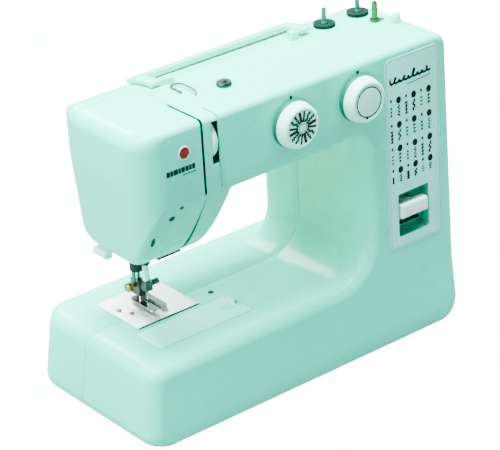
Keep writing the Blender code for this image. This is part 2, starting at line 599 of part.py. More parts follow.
LEVER_AXIS = (0.0734, 0.0600, 0.2360)
lever_tip = Vector((-0.048, 0.020))
lever_side = Vector((-lever_tip.y, lever_tip.x)).normalized() * 0.0028
lever_outline = [-lever_side * 1.4, lever_side * 1.4, lever_tip + lever_side, lever_tip - lever_side]
lever_rings = [[Vector((x, p.x, p.y)) for p in rounded([(*c, 0.0025) for c in lever_outline])]
               for x in (-0.0005, 0.0005)]
lever = place("take_up_lever", bridged("take_up_lever", lever_rings), CHROME, LEVER_AXIS)
join_round(lever, [(-0.0003, 0.0040), (0.0090, 0.0040)], LEVER_AXIS, "x", 16)

turned("presser_bar", [(0.0935, 0.0032), (0.1020, 0.0032), (0.1025, 0.0065), (0.1250, 0.0065),
                       (0.1255, 0.0032), (0.2620, 0.0032)], CHROME, (BAR_X, PRESSER_Y, 0), sides=16)
holder = slab("foot_holder", (BAR_X - 0.0042, 0.1108, 0.0792), (BAR_X + 0.0042, 0.1240, 0.0932), STEEL,
              0.0015)
join_slab(holder, (BAR_X - 0.0042, 0.1160, 0.0900), (BAR_X - 0.0036 + GAP, 0.1200, 0.1010), 0, "z")
foot = slab("presser_foot", (BAR_X - 0.0090, 0.0860, 0.0744), (BAR_X + 0.0090, 0.1200, 0.0762), CHROME,
            0.003)
join_slab(foot, (BAR_X - 0.0038, 0.1105, 0.0750), (BAR_X + 0.0038, 0.1165, 0.0789), 0.001)
cut_slab(foot, (BAR_X - 0.0028, 0.0800, 0.0700), (BAR_X + 0.0028, 0.1075, 0.0800), 0.001)
turned("foot_screw", [(0, 0.0030), (0.0010, 0.0042), (0.0055, 0.0042), (0.0065, 0.0022),
                      (0.0085, 0.0022)], BRASS, (BAR_X - 0.0042 - GAP - 0.0085, PRESSER_Y, 0.0880), "x", 16)
helix = [(BAR_X + 0.0050 * math.cos(2 * math.pi * i / 10),
          PRESSER_Y + 0.0050 * math.sin(2 * math.pi * i / 10), 0.1840 + 0.0480 * i / 70) for i in range(71)]
swept("presser_spring", helix, 0.0006, STEEL, 4)

feed = slab("feed_dog", (BAR_X - 0.0064, 0.0925, 0.0652), (BAR_X + 0.0064, 0.1165, 0.0682), STEEL)
for row_x in DOG_ROWS:
    join_slab(feed, (row_x - 0.0014, 0.0925, 0.0672), (row_x + 0.0014, 0.1165, 0.0723))
cut_slab(feed, (BAR_X - 0.0028, NEEDLE_Y - 0.0030, 0.0600), (BAR_X + 0.0028, NEEDLE_Y + 0.0030, 0.0750))

LIFTER_AXIS = (BAR_X - 0.0070, 0.1265, 0.1620)
lifter = slab("presser_lifter", (-0.0035, 0, -0.0160), (0.0035, 0.0030, 0.0040), WHITE, 0.002, "y",
              LIFTER_AXIS)
join_slab(lifter, (LIFTER_AXIS[0] - 0.0030, LIFTER_AXIS[1], 0.1420),
          (0.1080, LIFTER_AXIS[1] + 0.0090, 0.1468), 0.0015, "x")

# ---- controls -------------------------------------------------------------------------------------
def dial(name, x):
    turned(name, [(-KNOB_DEPTH, 0.0170), (-KNOB_DEPTH + 0.0014, 0.0186), (-0.0006, KNOB_R),
                  (-0.0006, 0.0040), (0.0220, 0.0040)], WHITE, (x, 0, KNOB_Z), "y", 40)


dial("stitch_dial", KNOB_X[0])
dial("length_dial", KNOB_X[1])
turned("tension_wheel", [(-0.0026, 0.0170), (-0.0018, 0.0178), (0.0018, 0.0178), (0.0026, 0.0170)], WHITE,
       TENSION, "x", 36)

REVERSE_AXIS = (0.3005, 0.0450, 0.1270)
reverse = slab("reverse_lever", (-0.0160, -0.0480, -0.0078), (0.0145, -0.0385, 0.0056), WHITE, 0.0022, "x",
               REVERSE_AXIS)
join_slab(reverse, (REVERSE_AXIS[0] - 0.0045, 0.0050, 0.1242), (REVERSE_AXIS[0] + 0.0045, 0.0490, 0.1298),
          0.0025, "x")

for side, pin in zip(("left", "right"), PINS):
    turned("spool_pin_" + side, [(0.2360, 0.0042), (0.2390, 0.0042), (0.2390, 0.0028), (0.2850, 0.0028),
                                 (0.2860, 0.0021), (0.2975, 0.0021), (0.2990, 0.0014)],
           WHITE, (*pin, 0), sides=16)
slide = slab("winder_slide", (0.3060, 0.0560, 0.2620), (0.3270, 0.0720, 0.2700), DARK, 0.001)
cut_round(slide, (*WINDER, 0.25), 0.0032, 0.03)
turned("winder_spindle", [(0.2570, 0.0050), (0.2605, 0.0050), (0.2605, 0.0026), (0.2823, 0.0026),
                          (0.2823, 0.0048), (0.2838, 0.0048), (0.2838, 0.0027), (0.2985, 0.0027),
                          (0.3000, 0.0018)], STEEL, (*WINDER, 0), sides=16)


def handle_bar(name, low_x, high_x, near, far, radius=0.0022):
    """Part of the handle from y = near to y = far, following the top's fall towards the rear."""
    rings = []
    for y in (near, far):
        drop = quarter(TOP_CURVE, ARM_DEPTH - y)
        low, high = HANDLE_Z - 0.0025 - drop, HANDLE_Z + 0.0025 - drop
        corners = [(low_x, low), (high_x, low), (high_x, high), (low_x, high)]
        ring = rounded([(*corner, radius) for corner in corners], 2)
        rings.append([Vector((p.x, y, p.y)) for p in ring])
    return place(name, bridged(name, rings), MINT)


handle = handle_bar("carry_handle", 0.0835, 0.2585, 0.1040, 0.1190, 0.0012)
for arm_x in (0.0835, 0.2475):
    boolean(handle, handle_bar("handle_arm", arm_x, arm_x + 0.0110, HANDLE_Y, 0.1060, 0.0015), "UNION")
    join_round(handle, [(0, 0.0025), (0.0110, 0.0025)], (arm_x, HANDLE_Y, HANDLE_Z), "x", 16)
for start, depth in ((0.0930, 0.0120), (0.2365, 0.0120)):
    join_round(handle, [(0, 0.0014), (depth, 0.0014)], (start, HANDLE_Y, HANDLE_Z), "x", 12)

cover = slab("bobbin_cover", (*COVER_LOW, SEAT_Z + GAP), (*COVER_HIGH, BED_TOP + 0.0002), WHITE, 0.003)
cut_round(cover, (COVER_HIGH[0], 0.0500, 0.0660), 0.0050, 0.010)
turned("cover_button", [(0.0665, 0.0035), (0.0685, 0.0035), (0.0685, 0.0022), (0.0728, 0.0022)], DARK,
       (*BUTTON, 0), sides=16)
SWITCH_AXIS = (0.3415, 0.1190, 0.0850)
slab("power_switch", (-0.0040, -0.0085, -0.0085), (0.0080, 0.0085, 0.0085), DARK, 0.001, "y", SWITCH_AXIS)
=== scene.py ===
"""Visual model of the sewing machine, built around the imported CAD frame."""
import math

import bmesh
import bpy
from mathutils import Matrix, Vector

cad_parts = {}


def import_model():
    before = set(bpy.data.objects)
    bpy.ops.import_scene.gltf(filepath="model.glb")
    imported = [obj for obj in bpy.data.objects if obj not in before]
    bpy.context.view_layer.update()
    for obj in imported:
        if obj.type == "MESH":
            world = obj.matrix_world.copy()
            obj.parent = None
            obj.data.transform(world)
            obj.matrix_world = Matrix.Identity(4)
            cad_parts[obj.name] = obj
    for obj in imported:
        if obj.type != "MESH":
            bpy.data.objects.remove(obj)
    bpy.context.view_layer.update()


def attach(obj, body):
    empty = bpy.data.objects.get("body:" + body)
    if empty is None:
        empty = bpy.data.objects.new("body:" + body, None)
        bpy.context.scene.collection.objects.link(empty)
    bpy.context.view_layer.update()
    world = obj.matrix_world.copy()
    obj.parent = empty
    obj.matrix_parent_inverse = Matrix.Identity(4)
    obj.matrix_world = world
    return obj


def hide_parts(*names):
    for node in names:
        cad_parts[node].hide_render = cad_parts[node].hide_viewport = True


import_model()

# ---- driving dimensions, in metres, from the bed's left end, the front plane and the table -------
LENGTH, FLARE = 0.345, 0.005
BED_DEPTH, BED_TOP, BED_BOTTOM = 0.172, 0.072, 0.0012
ARM_DEPTH, ARM_UNDER, ARM_TOP = 0.138, 0.211, 0.281
HEAD_LEFT, HEAD_RIGHT, HEAD_TOP, HEAD_BOTTOM = 0.007, 0.091, 0.284, 0.157
PILLAR_LEFT = 0.247
WALL, SEAM_Y, FACE_X, FACE_BEND, GAP = 0.0025, 0.0965, 0.074, 0.215, 0.0003
SHIFT = Vector((-0.1828, -0.0786, 0.0))      # machine corner in the row's frame
SHAFT_Y, SHAFT_Z = 0.072, 0.229
BAR_X, NEEDLE_Y = 0.0765, 0.104
KNOB_X, KNOB_Z, KNOB_DEPTH = (0.1667, 0.2405), 0.251, 0.0147
DIAL_FACE = -KNOB_DEPTH + 0.0004             # dished by this little behind the rim
DIAL_FLUTES = 45


# ---- node materials ------------------------------------------------------------------------------
class Nodes:
    """A material's node tree with short calls."""

    def __init__(self, name, colour, roughness, metallic=0.0):
        self.made = bpy.data.materials.new(name)
        self.made.use_nodes = True
        self.tree = self.made.node_tree
        self.shader = self.tree.nodes["Principled BSDF"]
        self.put("Base Color", (*colour, 1.0))
        self.put("Roughness", roughness)
        self.put("Metallic", metallic)
        self.coords = self.tree.nodes.new("ShaderNodeTexCoord").outputs["Object"]

    def put(self, socket, value):
        self.shader.inputs[socket].default_value = value

    def link(self, a, b):
        self.tree.links.new(a, b)

    def scaled(self, scale):
        node = self.tree.nodes.new("ShaderNodeMapping")
        node.inputs["Scale"].default_value = scale
        self.link(self.coords, node.inputs["Vector"])
        return node.outputs["Vector"]

    def noise(self, scale, detail=3.0, vector=None):
        node = self.tree.nodes.new("ShaderNodeTexNoise")
        node.inputs["Scale"].default_value = scale
        node.inputs["Detail"].default_value = detail
        self.link(vector or self.coords, node.inputs["Vector"])
        return node.outputs["Fac"]

    def ramp(self, value, low, high, places=(0.35, 0.65)):
        node = self.tree.nodes.new("ShaderNodeValToRGB")
        for stop, colour, at in zip(node.color_ramp.elements, (low, high), places):
            stop.color = (*colour, 1.0) if len(colour) == 3 else colour
            stop.position = at
        self.link(value, node.inputs["Fac"])
        return node.outputs["Color"]

    def spread(self, value, low, high):
        node = self.tree.nodes.new("ShaderNodeMapRange")
        node.inputs["From Min"].default_value = 0.3
        node.inputs["From Max"].default_value = 0.7
        node.inputs["To Min"].default_value = low
        node.inputs["To Max"].default_value = high
        self.link(value, node.inputs["Value"])
        return node.outputs["Result"]

    def bump(self, value, strength, distance=0.0002):
        node = self.tree.nodes.new("ShaderNodeBump")
        node.inputs["Strength"].default_value = strength
        node.inputs["Distance"].default_value = distance
        self.link(value, node.inputs["Height"])
        if self.shader.inputs["Normal"].is_linked:
            self.link(self.shader.inputs["Normal"].links[0].from_socket, node.inputs["Normal"])
        self.link(node.outputs["Normal"], self.shader.inputs["Normal"])

    def colour(self, output):
        self.link(output, self.shader.inputs["Base Color"])

    def roughness(self, output):
        self.link(output, self.shader.inputs["Roughness"])


def shade(colour, factor):
    return tuple(min(1.0, channel * factor) for channel in colour)


def moulded(name, colour, rough, coat=0.08, peel=0.06):
    """Glossy injection-moulded plastic: faint clouding, orange peel, handled patches."""
    m = Nodes(name, colour, rough)
    m.put("Specular IOR Level", 0.20)
    m.put("Coat Weight", coat)
    m.put("Coat Roughness", 0.06)
    m.colour(m.ramp(m.noise(9.0, 2.0), shade(colour, 0.985), shade(colour, 1.01)))
    m.roughness(m.spread(m.noise(38.0, 5.0), rough * 0.9, rough * 1.15))
    m.bump(m.noise(620.0, 2.0), peel, 0.00006)
    return m.made


def metal(name, colour, rough, grain=(1.0, 1.0, 1.0), strength=0.15, scale=900.0):
    """Metal with a directional grain, fine scratches and slightly dull patches."""
    m = Nodes(name, colour, rough, 1.0)
    vector = m.scaled(grain)
    lines = m.noise(scale, 4.0, vector)
    m.colour(m.ramp(m.noise(60.0, 5.0), shade(colour, 0.86), shade(colour, 1.05)))
    m.roughness(m.spread(lines, rough * 0.7, rough * 1.4))
    m.bump(lines, strength, 0.00006)
    return m.made


def matt(name, colour, rough, grain=500.0, strength=0.25):
    m = Nodes(name, colour, rough)
    m.put("Specular IOR Level", 0.10)
    m.colour(m.ramp(m.noise(90.0, 5.0), shade(colour, 0.8), shade(colour, 1.25)))
    m.roughness(m.spread(m.noise(60.0, 3.0), rough * 0.85, min(1.0, rough * 1.15)))
    m.bump(m.noise(grain, 5.0), strength, 0.00025)
    return m.made


MINT = moulded("mint_plastic", (0.0, 0.760, 0.560), 0.26)
PALE = moulded("pale_mint_plastic", (0.42, 0.98, 0.82), 0.26)
WHITE = moulded("white_plastic", (0.85, 0.96, 0.92), 0.30)
COVER = moulded("cover_plastic", (0.16, 0.98, 0.78), 0.30)
PANEL = moulded("panel_plastic", (0.26, 0.86, 0.74), 0.24)
# black plastic, and also painted shade: the plates and sheets laid in slots, gaps and vents
BLACK_AND_SHADE = matt("black_plastic_and_painted_shade", (0.012, 0.020, 0.018), 0.38, 700.0, 0.12)
INK = matt("black_print", (0.0010, 0.0050, 0.0040), 0.70, 900.0, 0.05)
# dark green print, and also painted shade for the screw sinks on the head's lower front
SOFT_INK_AND_SHADE = matt("green_print_and_painted_shade", (0.003, 0.045, 0.036), 0.70, 900.0, 0.05)
RED = moulded("red_enamel", (0.200, 0.0, 0.001), 0.30, 0.0)
DARK_STEEL = metal("dark_steel", (0.10, 0.095, 0.09), 0.34, (1.0, 0.06, 1.0))
# dark mint of the spool pins, and also painted shade: the dials' skirts where they meet the arm, and the rear
# screws' countersinks
DEEP_MINT_AND_SHADE = moulded("deep_mint_and_painted_shade", (0.0, 0.120, 0.075), 0.35, 0.0)
# painted shade for recesses: the walls and floor of the lever's recess, and the bobbin cover's notch and
# grooves
RECESS_SHADE = moulded("painted_recess_shade", (0.0, 0.420, 0.280), 0.40, 0.0)
# painted shadow on the needle plate's front edge, in the take-up lever's slot and in the slanted seam
SHADOW = matt("painted_shadow", (0.0, 0.030, 0.020), 0.60, 700.0, 0.1)
RUBBER = matt("rubber", (0.018, 0.018, 0.018), 0.78)
STEEL = metal("brushed_steel", (0.60, 0.57, 0.55), 0.30, (1.0, 0.06, 1.0))
PLATE = metal("plate_steel", (0.86, 0.78, 0.74), 0.50, (0.05, 1.0, 1.0), 0.2)
CHROME = metal("polished_chrome", (0.70, 0.70, 0.69), 0.10, strength=0.04)
OLIVE = metal("dull_brass", (0.10, 0.11, 0.04), 0.40, (1.0, 1.0, 0.1))
BRONZE = metal("bronze", (0.42, 0.23, 0.09), 0.30, (1.0, 1.0, 0.1))
CAST = matt("cast_metal", (0.20, 0.21, 0.21), 0.6, 260.0, 0.5)
FELT = matt("felt", (0.003, 0.014, 0.010), 0.98, 1300.0, 0.9)
BULB = moulded("frosted_glass", (0.92, 0.90, 0.84), 0.45, 0.2)


# ---- shapes --------------------------------------------------------------------------------------
SHARP = 32                      # edges that bend by more degrees than this stay crisp
MERGED_SHARP = 40


def smooth(mesh, sharp=SHARP):
    mesh.shade_smooth()
    mesh.set_sharp_from_angle(angle=math.radians(sharp))
    return mesh


def linked(name, mesh, finish):
    """New object in the scene, with one finish."""
    obj = bpy.data.objects.new(name, mesh)
    mesh.materials.clear()
    mesh.materials.append(finish)
    bpy.context.scene.collection.objects.link(obj)
    return obj


def add(name, mesh, finish, at=(0, 0, 0)):
    """New object from a mesh that is measured from the machine's corner."""
    mesh.transform(Matrix.Translation(Vector(at) + SHIFT))
    return linked(name, mesh, finish)


def mesh_of(name, points, faces):
    mesh = bpy.data.meshes.new(name)
    mesh.from_pydata([tuple(p) for p in points], [], faces)
    work = bmesh.new()
    work.from_mesh(mesh)
    bmesh.ops.remove_doubles(work, verts=work.verts, dist=1e-7)
    bmesh.ops.recalc_face_normals(work, faces=work.faces)
    work.to_mesh(mesh)
    work.free()
    return smooth(mesh)


def bridged(name, rings, loop=False):
    """Closed solid through rings of equal size: capped at both ends, or joined into a loop."""
    size = len(rings[0])
    points = [p for ring in rings for p in ring]
    faces = []
    for r in range(len(rings) - (0 if loop else 1)):
        for i in range(size):
            j = (i + 1) % size
            a, b = r * size, (r + 1) % len(rings) * size
            faces.append((a + i, a + j, b + j, b + i))
    if not loop:
        faces.append(tuple(range(size)))
        faces.append(tuple(range((len(rings) - 1) * size, len(rings) * size)))
    return mesh_of(name, points, faces)


def rounded(corners, steps=6):
    """2-D outline through (u, v, radius) corners."""
    outline = []
    count = len(corners)
    for i, (u, v, radius) in enumerate(corners):
        here = Vector((u, v))
        back = Vector(corners[i - 1][:2]) - here
        on = Vector(corners[(i + 1) % count][:2]) - here
        half = back.angle(on) / 2
        reach = min(radius / math.tan(half), 0.49 * back.length, 0.49 * on.length)
        true_radius = reach * math.tan(half)
        bisector = (back.normalized() + on.normalized()).normalized()
        middle = here + bisector * (true_radius / math.sin(half))
        first = here + back.normalized() * reach - middle
        last = here + on.normalized() * reach - middle
        turn = first.angle_signed(last) if true_radius > 1e-7 else 0.0
        for step in range(steps + 1):
            outline.append(middle + Matrix.Rotation(-turn * step / steps, 2) @ first)
    return outline


def rounded_box(low, high, radius, steps=6):
    """Outline of a rectangle between two corners, with its own corners rounded."""
    return rounded([(low[0], low[1], radius), (high[0], low[1], radius), (high[0], high[1], radius),
                    (low[0], high[1], radius)], steps)


PLANES = {"x": (1, 2, 0), "y": (0, 2, 1), "z": (0, 1, 2)}
AXES = {"x": Vector((1, 0, 0)), "y": Vector((0, 1, 0)), "z": Vector((0, 0, 1))}


def placed(outline, level, axis):
    """A 2-D outline set across an axis, at a level along it."""
    a, b, c = PLANES[axis]
    ring = []
    for u, v in outline:
        point = [0.0, 0.0, 0.0]
        point[a], point[b], point[c] = u, v, level
        ring.append(point)
    return ring


def slab(name, low, high, finish, radius=0.0005, axis="z", edge=0.0):
    """Block with corners rounded about one axis, and its rims rounded by edge."""
    a, b, c = PLANES[axis]
    levels = [(low[c], 0.0), (high[c], 0.0)]
    if edge:
        arc = [edge * (1 - math.cos(math.pi / 2 * i / 4)) for i in range(5)]
        levels = [(low[c] + depth, edge - math.sqrt(max(edge ** 2 - (edge - depth) ** 2, 0)))
                  for depth in arc]
        levels += [(low[c] + high[c] - level, inset) for level, inset in reversed(levels)]
    rings = []
    for level, inset in levels:
        outline = rounded_box((low[a] + inset, low[b] + inset), (high[a] - inset, high[b] - inset),
                              max(radius - inset, 0.00005))
        rings.append(placed(outline, level, axis))
    return add(name, bridged(name, rings), finish)


def turned(name, profile, finish, at, axis="z", sides=48, ripple=None):
    """Turned solid: profile is (distance along the axis, radius); ripple(angle, along) adds to it."""
    swing = AXES["z"].rotation_difference(AXES[axis]).to_matrix()
    rings = []
    for along, radius in profile:
        ring = []
        for i in range(sides):
            angle = 2 * math.pi * i / sides
            r = radius + (ripple(angle, along) if ripple else 0.0)
            ring.append(swing @ Vector((r * math.cos(angle), r * math.sin(angle), along)))
        rings.append(ring)
    return add(name, bridged(name, rings), finish, at)


def soften(profile, radius=0.0004, steps=3):
    """A turned profile with every corner rounded but its two ends."""
    out = [profile[0]]
    for i in range(1, len(profile) - 1):
        here = Vector(profile[i])
        back = Vector(profile[i - 1]) - here
        on = Vector(profile[i + 1]) - here
        reach = min(radius, 0.45 * back.length, 0.45 * on.length)
        a = here + back.normalized() * reach
        b = here + on.normalized() * reach
        for step in range(steps + 1):
            t = step / steps
            out.append(tuple(a * (1 - t) ** 2 + here * 2 * t * (1 - t) + b * t ** 2))
    out.append(profile[-1])
    return out


def settle(obj):
    """Applies every modifier, so that the mesh is final."""
    graph = bpy.context.evaluated_depsgraph_get()
    mesh = bpy.data.meshes.new_from_object(obj.evaluated_get(graph))
    obj.modifiers.clear()
    obj.data = mesh
    smooth(mesh)


def boolean(target, tools, operation="DIFFERENCE"):
    """Cuts the tools from the target, or joins them to it, and removes them."""
    for tool in tools:
        change = target.modifiers.new("cut", "BOOLEAN")
        change.operation = operation
        change.object = tool
        change.solver = "EXACT"
    settle(target)
    for tool in tools:
        bpy.data.objects.remove(tool, do_unlink=True)


# ---- casings -------------------------------------------------------------------------------------
# (x, z, corner radius), and how far the edge after the corner rounds to the front and the rear
BED_LEFT = 0.004                # left end at the bed's top
LEAN = 0.013                    # this end leans out by so much down to the table
DRAFT = 0.0055                  # and the front by this, from DRAFT_TOP down
DRAFT_TOP = 0.058
DRIFT = 0.010                   # the pillar's inner wall runs this far left behind the seam
PILLAR_EDGE = 6                 # that wall's place in UPPER
TOP_CURVE = (0.026, 0.060)      # the top falls away in this ellipse towards the rear
HEAD_CURVE = (0.045, 0.065)     # and so does the head's left end
BODY = [
    ((BED_LEFT - LEAN, BED_BOTTOM, 0.012), 0.002, 0.006),
    ((LENGTH + FLARE, BED_BOTTOM, 0.020), 0.007, 0.014),
    ((LENGTH, ARM_TOP, 0.013), 0.005, TOP_CURVE),
    ((HEAD_LEFT, HEAD_TOP, 0.014), 0.024, HEAD_CURVE),
    ((HEAD_LEFT, 0.235, 0.030), 0.024, HEAD_CURVE),
    ((HEAD_LEFT + 0.007, HEAD_BOTTOM, 0.012), 0.0, 0.008),
    ((HEAD_RIGHT - 0.009, HEAD_BOTTOM, 0.007), 0.006, 0.006),
    ((HEAD_RIGHT + 0.009, ARM_UNDER, 0.020), 0.009, 0.010),
    ((PILLAR_LEFT, ARM_UNDER, 0.024), (0.014, 0.030), 0.010),
    ((PILLAR_LEFT - 0.001, BED_TOP, 0.040), 0.011, 0.011),
    ((BED_LEFT, BED_TOP, 0.014), 0.015, 0.030),
]
UPPER = BODY[2:9] + [
    ((PILLAR_LEFT - 0.001, BED_TOP - GAP, 0.040), 0.0, 0.0),
    ((PILLAR_LEFT - 0.090, BED_TOP - GAP, 0.001), 0.0, 0.0),
    ((PILLAR_LEFT - 0.090, BED_TOP - 0.014, 0.001), 0.0, 0.0),
    ((LENGTH + 0.0035, BED_TOP - 0.014, 0.001), 0.007, 0.012),
]
BED = [
    ((BED_LEFT - LEAN, BED_BOTTOM, 0.012), 0.0, 0.006),
    ((LENGTH + FLARE, BED_BOTTOM, 0.020), 0.0, 0.016),
    ((LENGTH + FLARE - 0.0012, BED_TOP, 0.010), 0.0, 0.012),
    ((BED_LEFT, BED_TOP, 0.014), 0.0, 0.030),
]
REAR_CURVED = (2, 3, 4)         # edges in BODY that also fall away to the rear
HEAD_EDGE = 5                   # the head's underside in BODY, which rises to its front face
HEAD_RISE, HEAD_RUN, HEAD_BULGE = 0.060, 0.038, 2.2
CORNER_STEPS = 10
FRONT_STEPS = [HEAD_RUN * (i / 26) ** 1.8 for i in range(27)]
REAR_STEPS = [0.031 * (i / 16) ** 1.8 for i in range(17)]
HALF_GAP = 0.00022


def head_front(z):
    """How far behind the front plane the head's face lies, below its bulge."""
    return HEAD_RUN * (1 - ((z - HEAD_BOTTOM) / HEAD_RISE) ** (1 / HEAD_BULGE))


def quarter(curve, depth):
    """Inset of a rounded edge at a depth behind the face that it rounds into."""
    inset, run = curve if isinstance(curve, tuple) else (curve, curve)
    if inset <= 0 or depth >= run:
        return 0.0
    return inset * (1 - math.sqrt(1 - (1 - max(depth, 0.0) / run) ** 2))


def section(body, insets, y):
    """Ring of a casing at depth y: every edge of the outline moved inwards by its own inset."""
    count = len(body)
    lines = []
    for i in range(count):
        a = Vector(body[i][0][:2])
        run = (Vector(body[(i + 1) % count][0][:2]) - a).normalized()
        lines.append((a + Vector((-run.y, run.x)) * insets[i], run))
    corners = []
    for i in range(count):
        (p, d), (q, e) = lines[i - 1], lines[i]
        cross = d.x * e.y - d.y * e.x
        spot = p + d * (((q - p).x * e.y - (q - p).y * e.x) / cross)
        shrink = min(insets[i - 1], insets[i])
        radius = body[i][0][2] - shrink if cross > 0 else body[i][0][2] + shrink
        corners.append((spot.x, spot.y, max(radius, 0.0008)))
    return [Vector((p.x, y, p.y)) for p in rounded(corners, CORNER_STEPS)]


def front_section(y, wall=0.0, rim=0.0):
    depth = y - wall
    insets = [wall + quarter(edge[1], depth) for edge in BODY]
    for i in REAR_CURVED:
        insets[i] = max(insets[i], wall + quarter(BODY[i][2], ARM_DEPTH - wall - y))
    insets[HEAD_EDGE] = wall + HEAD_RISE * max(0.0, 1 - max(depth, 0.0) / HEAD_RUN) ** HEAD_BULGE
    return section(BODY, [inset + rim for inset in insets], y)


def lean_out(mesh):
    """Splits a casing at DRAFT_TOP and leans its front out below that."""
    work = bmesh.new()
    work.from_mesh(mesh)
    everything = work.verts[:] + work.edges[:] + work.faces[:]
    bmesh.ops.bisect_plane(work, geom=everything, plane_co=(0, 0, DRAFT_TOP), plane_no=(0, 0, 1))
    for vertex in work.verts:
        below = max(0.0, 1 - vertex.co.z / DRAFT_TOP)
        vertex.co.y -= DRAFT * below * max(0.0, 1 - vertex.co.y / SEAM_Y)
    work.to_mesh(mesh)
    work.free()
    return smooth(mesh)


def front_shell(name):
    """Hollow casing from the front plane to the seam."""
    rim = 0.0006
    last = SEAM_Y - HALF_GAP
    rings = [front_section(y) for y in FRONT_STEPS]
    rings += [front_section(y) for y in (0.05, 0.065, 0.075, 0.083, 0.09, last - rim)]
    rings += [front_section(last, 0.0, 0.0003), front_section(last, WALL)]
    rings += [front_section(y, WALL) for y in (0.09, 0.083, 0.075, 0.065)]
    rings += [front_section(y + WALL, WALL) for y in reversed(FRONT_STEPS)]
    return add(name, lean_out(bridged(name, rings)), MINT)


def rear_section(body, y, rear, wall=0.0, rim=0.0):
    insets = [wall + rim + quarter(edge[2], rear - wall - y) for edge in body]
    if body is UPPER:
        insets[PILLAR_EDGE] -= DRIFT * (y - SEAM_Y) / (ARM_DEPTH - SEAM_Y)
    return section(body, insets, y)


def rear_block(name, body, start, rear, wall=0.0):
    rings = []
    if not wall:
        rings.append(rear_section(body, start, rear, 0.0, 0.0003))
        start += 0.0006
    rings.append(rear_section(body, start, rear, wall))
    rings += [rear_section(body, rear - wall - step, rear, wall) for step in reversed(REAR_STEPS)]
    return add(name, bridged(name, rings), MINT)


def tool(low, high, radius=0.0005, axis="z"):
    return slab("tool", low, high, BLACK_AND_SHADE, radius, axis)


def round_tool(at, radius, depth, axis="z"):
    return turned("tool", [(0, radius), (depth, radius)], BLACK_AND_SHADE, at, axis, 40)


def make_rear():
    start = SEAM_Y + HALF_GAP
    shell = rear_block("rear_casing", UPPER, start, ARM_DEPTH)
    boolean(shell, [rear_block("tool", BED, start, BED_DEPTH)], "UNION")
    hollow = rear_block("tool", UPPER, start - 0.002, ARM_DEPTH, WALL)
    boolean(hollow, [rear_block("tool", BED, start - 0.002, BED_DEPTH, WALL)], "UNION")
    boolean(shell, [hollow])
    return shell


front = front_shell("front_casing")
face = front_shell("face_casing")
rear = make_rear()

SEAM_FOOT = 0.10                # the slanted seam's two sides lean left by these down to this height
FACE_LEAN, FRONT_LEAN = 0.031, 0.022


def face_block(side, lean):
    """Everything left of the face cover's seam, which leans left below FACE_BEND."""
    right = FACE_X + side
    corners = ((-0.02, SEAM_FOOT), (right - lean, SEAM_FOOT), (right, FACE_BEND), (right, 0.30),
               (-0.02, 0.30))
    rings = [placed(corners, y, "y") for y in (-0.02, 0.12)]
    return add("tool", bridged("tool", rings), MINT)


boolean(face, [face_block(-0.0003, FACE_LEAN)], "INTERSECT")
boolean(front, [face_block(0.0003, FRONT_LEAN)])
HEAD_HOLE = ((0.028, 0.062, 0.150), (0.084, 0.131, 0.1665), 0.004)
boolean(face, [tool((FACE_X - 0.0026, -0.02, FACE_BEND), (FACE_X + 0.001, 0.046, 0.30)), tool(*HEAD_HOLE)])

PLATE_LOW, PLATE_HIGH = (0.0435, 0.0745), (0.1100, 0.1380)
COVER_LOW, COVER_HIGH = (0.0360, 0.0320), (0.1370, 0.0680)
PANEL_LOW, PANEL_HIGH = (0.2712, 0.0902), (0.3338, 0.2748)
LEVER_LOW, LEVER_HIGH = (0.2820, 0.1010), (0.3190, 0.1440)
BUTTON = (0.1300, 0.0830)
PLATE_THICK = 0.0012
PLATE_TOP = BED_TOP + 0.0002    # of the needle plate and of the bobbin cover
SEAT_Z = PLATE_TOP - PLATE_THICK - GAP
ABOVE_BED = 0.08                # tools that cut down into the bed start here
PINS = ((0.2790, 0.0880), (0.3180, 0.0880))
WINDER, WINDER_RUN = (0.3175, 0.0640), 0.007
HANDLE_Y, HANDLE_Z = 0.084, 0.2866           # the carry handle's hinge line
BOSSES = ((0.0985, 0.1065), (0.2355, 0.2435))


def grown(low, high, by):
    """Two corners of a rectangle, moved outwards."""
    return (low[0] - by, low[1] - by), (high[0] + by, high[1] + by)


def bed_tool(low, high, bottom, by, radius):
    """Cuts a rectangle of the bed's top, grown by a margin, down to a height."""
    low, high = grown(low, high, by)
    return tool((*low, bottom), (*high, ABOVE_BED), radius)


def panel_tool(low, high, start, end, radius, by=0.0):
    """Cuts a rectangle of the pillar's front, grown by a margin, between two depths."""
    low, high = grown(low, high, by)
    return tool((low[0], start, low[1]), (high[0], end, high[1]), radius, "y")


def shared_tools():
    """Cuts that cross the seam between the front and rear casings."""
    return [bed_tool(PLATE_LOW, PLATE_HIGH, SEAT_Z, GAP, 0.0018),
            bed_tool(PLATE_LOW, PLATE_HIGH, 0.06, -0.003, 0.002),
            tool((0.010, 0.008, 0.0), (0.3265, 0.160, 0.0070), 0.012)]


# the lever's box, behind the panel
boolean(front, [tool((LEVER_LOW[0] - 0.003, 0.0010, LEVER_LOW[1] - 0.003),
                     (LEVER_HIGH[0] + 0.003, 0.0135, LEVER_HIGH[1] + 0.003))], "UNION")
front_tools = shared_tools()
# the threading slot, the hole under the head and the tension wheel's window
front_tools.append(tool((0.0889, -0.02, 0.2165), (0.0905, 0.020, 0.30)))
front_tools.append(tool(*HEAD_HOLE))
front_tools.append(tool((0.0818, -0.01, 0.2400), (0.0893, 0.010, 0.2790)))
# the panel's seat, the lever's recess, the lever's arm and the dark slot under it
front_tools.append(panel_tool(PANEL_LOW, PANEL_HIGH, -0.01, 0.0014, 0.0063, GAP))
front_tools.append(panel_tool(LEVER_LOW, LEVER_HIGH, -0.01, 0.0115, 0.002))
front_tools.append(tool((0.2945, 0.005, 0.1125), (0.3065, 0.020, 0.1345)))
front_tools.append(tool((0.2835, 0.005, 0.1055), (0.3175, 0.020, 0.1110)))
# the bobbin cover's seat and opening
front_tools.append(bed_tool(COVER_LOW, COVER_HIGH, SEAT_Z, GAP, 0.003))
front_tools.append(bed_tool(COVER_LOW, COVER_HIGH, 0.06, -0.004, 0.002))
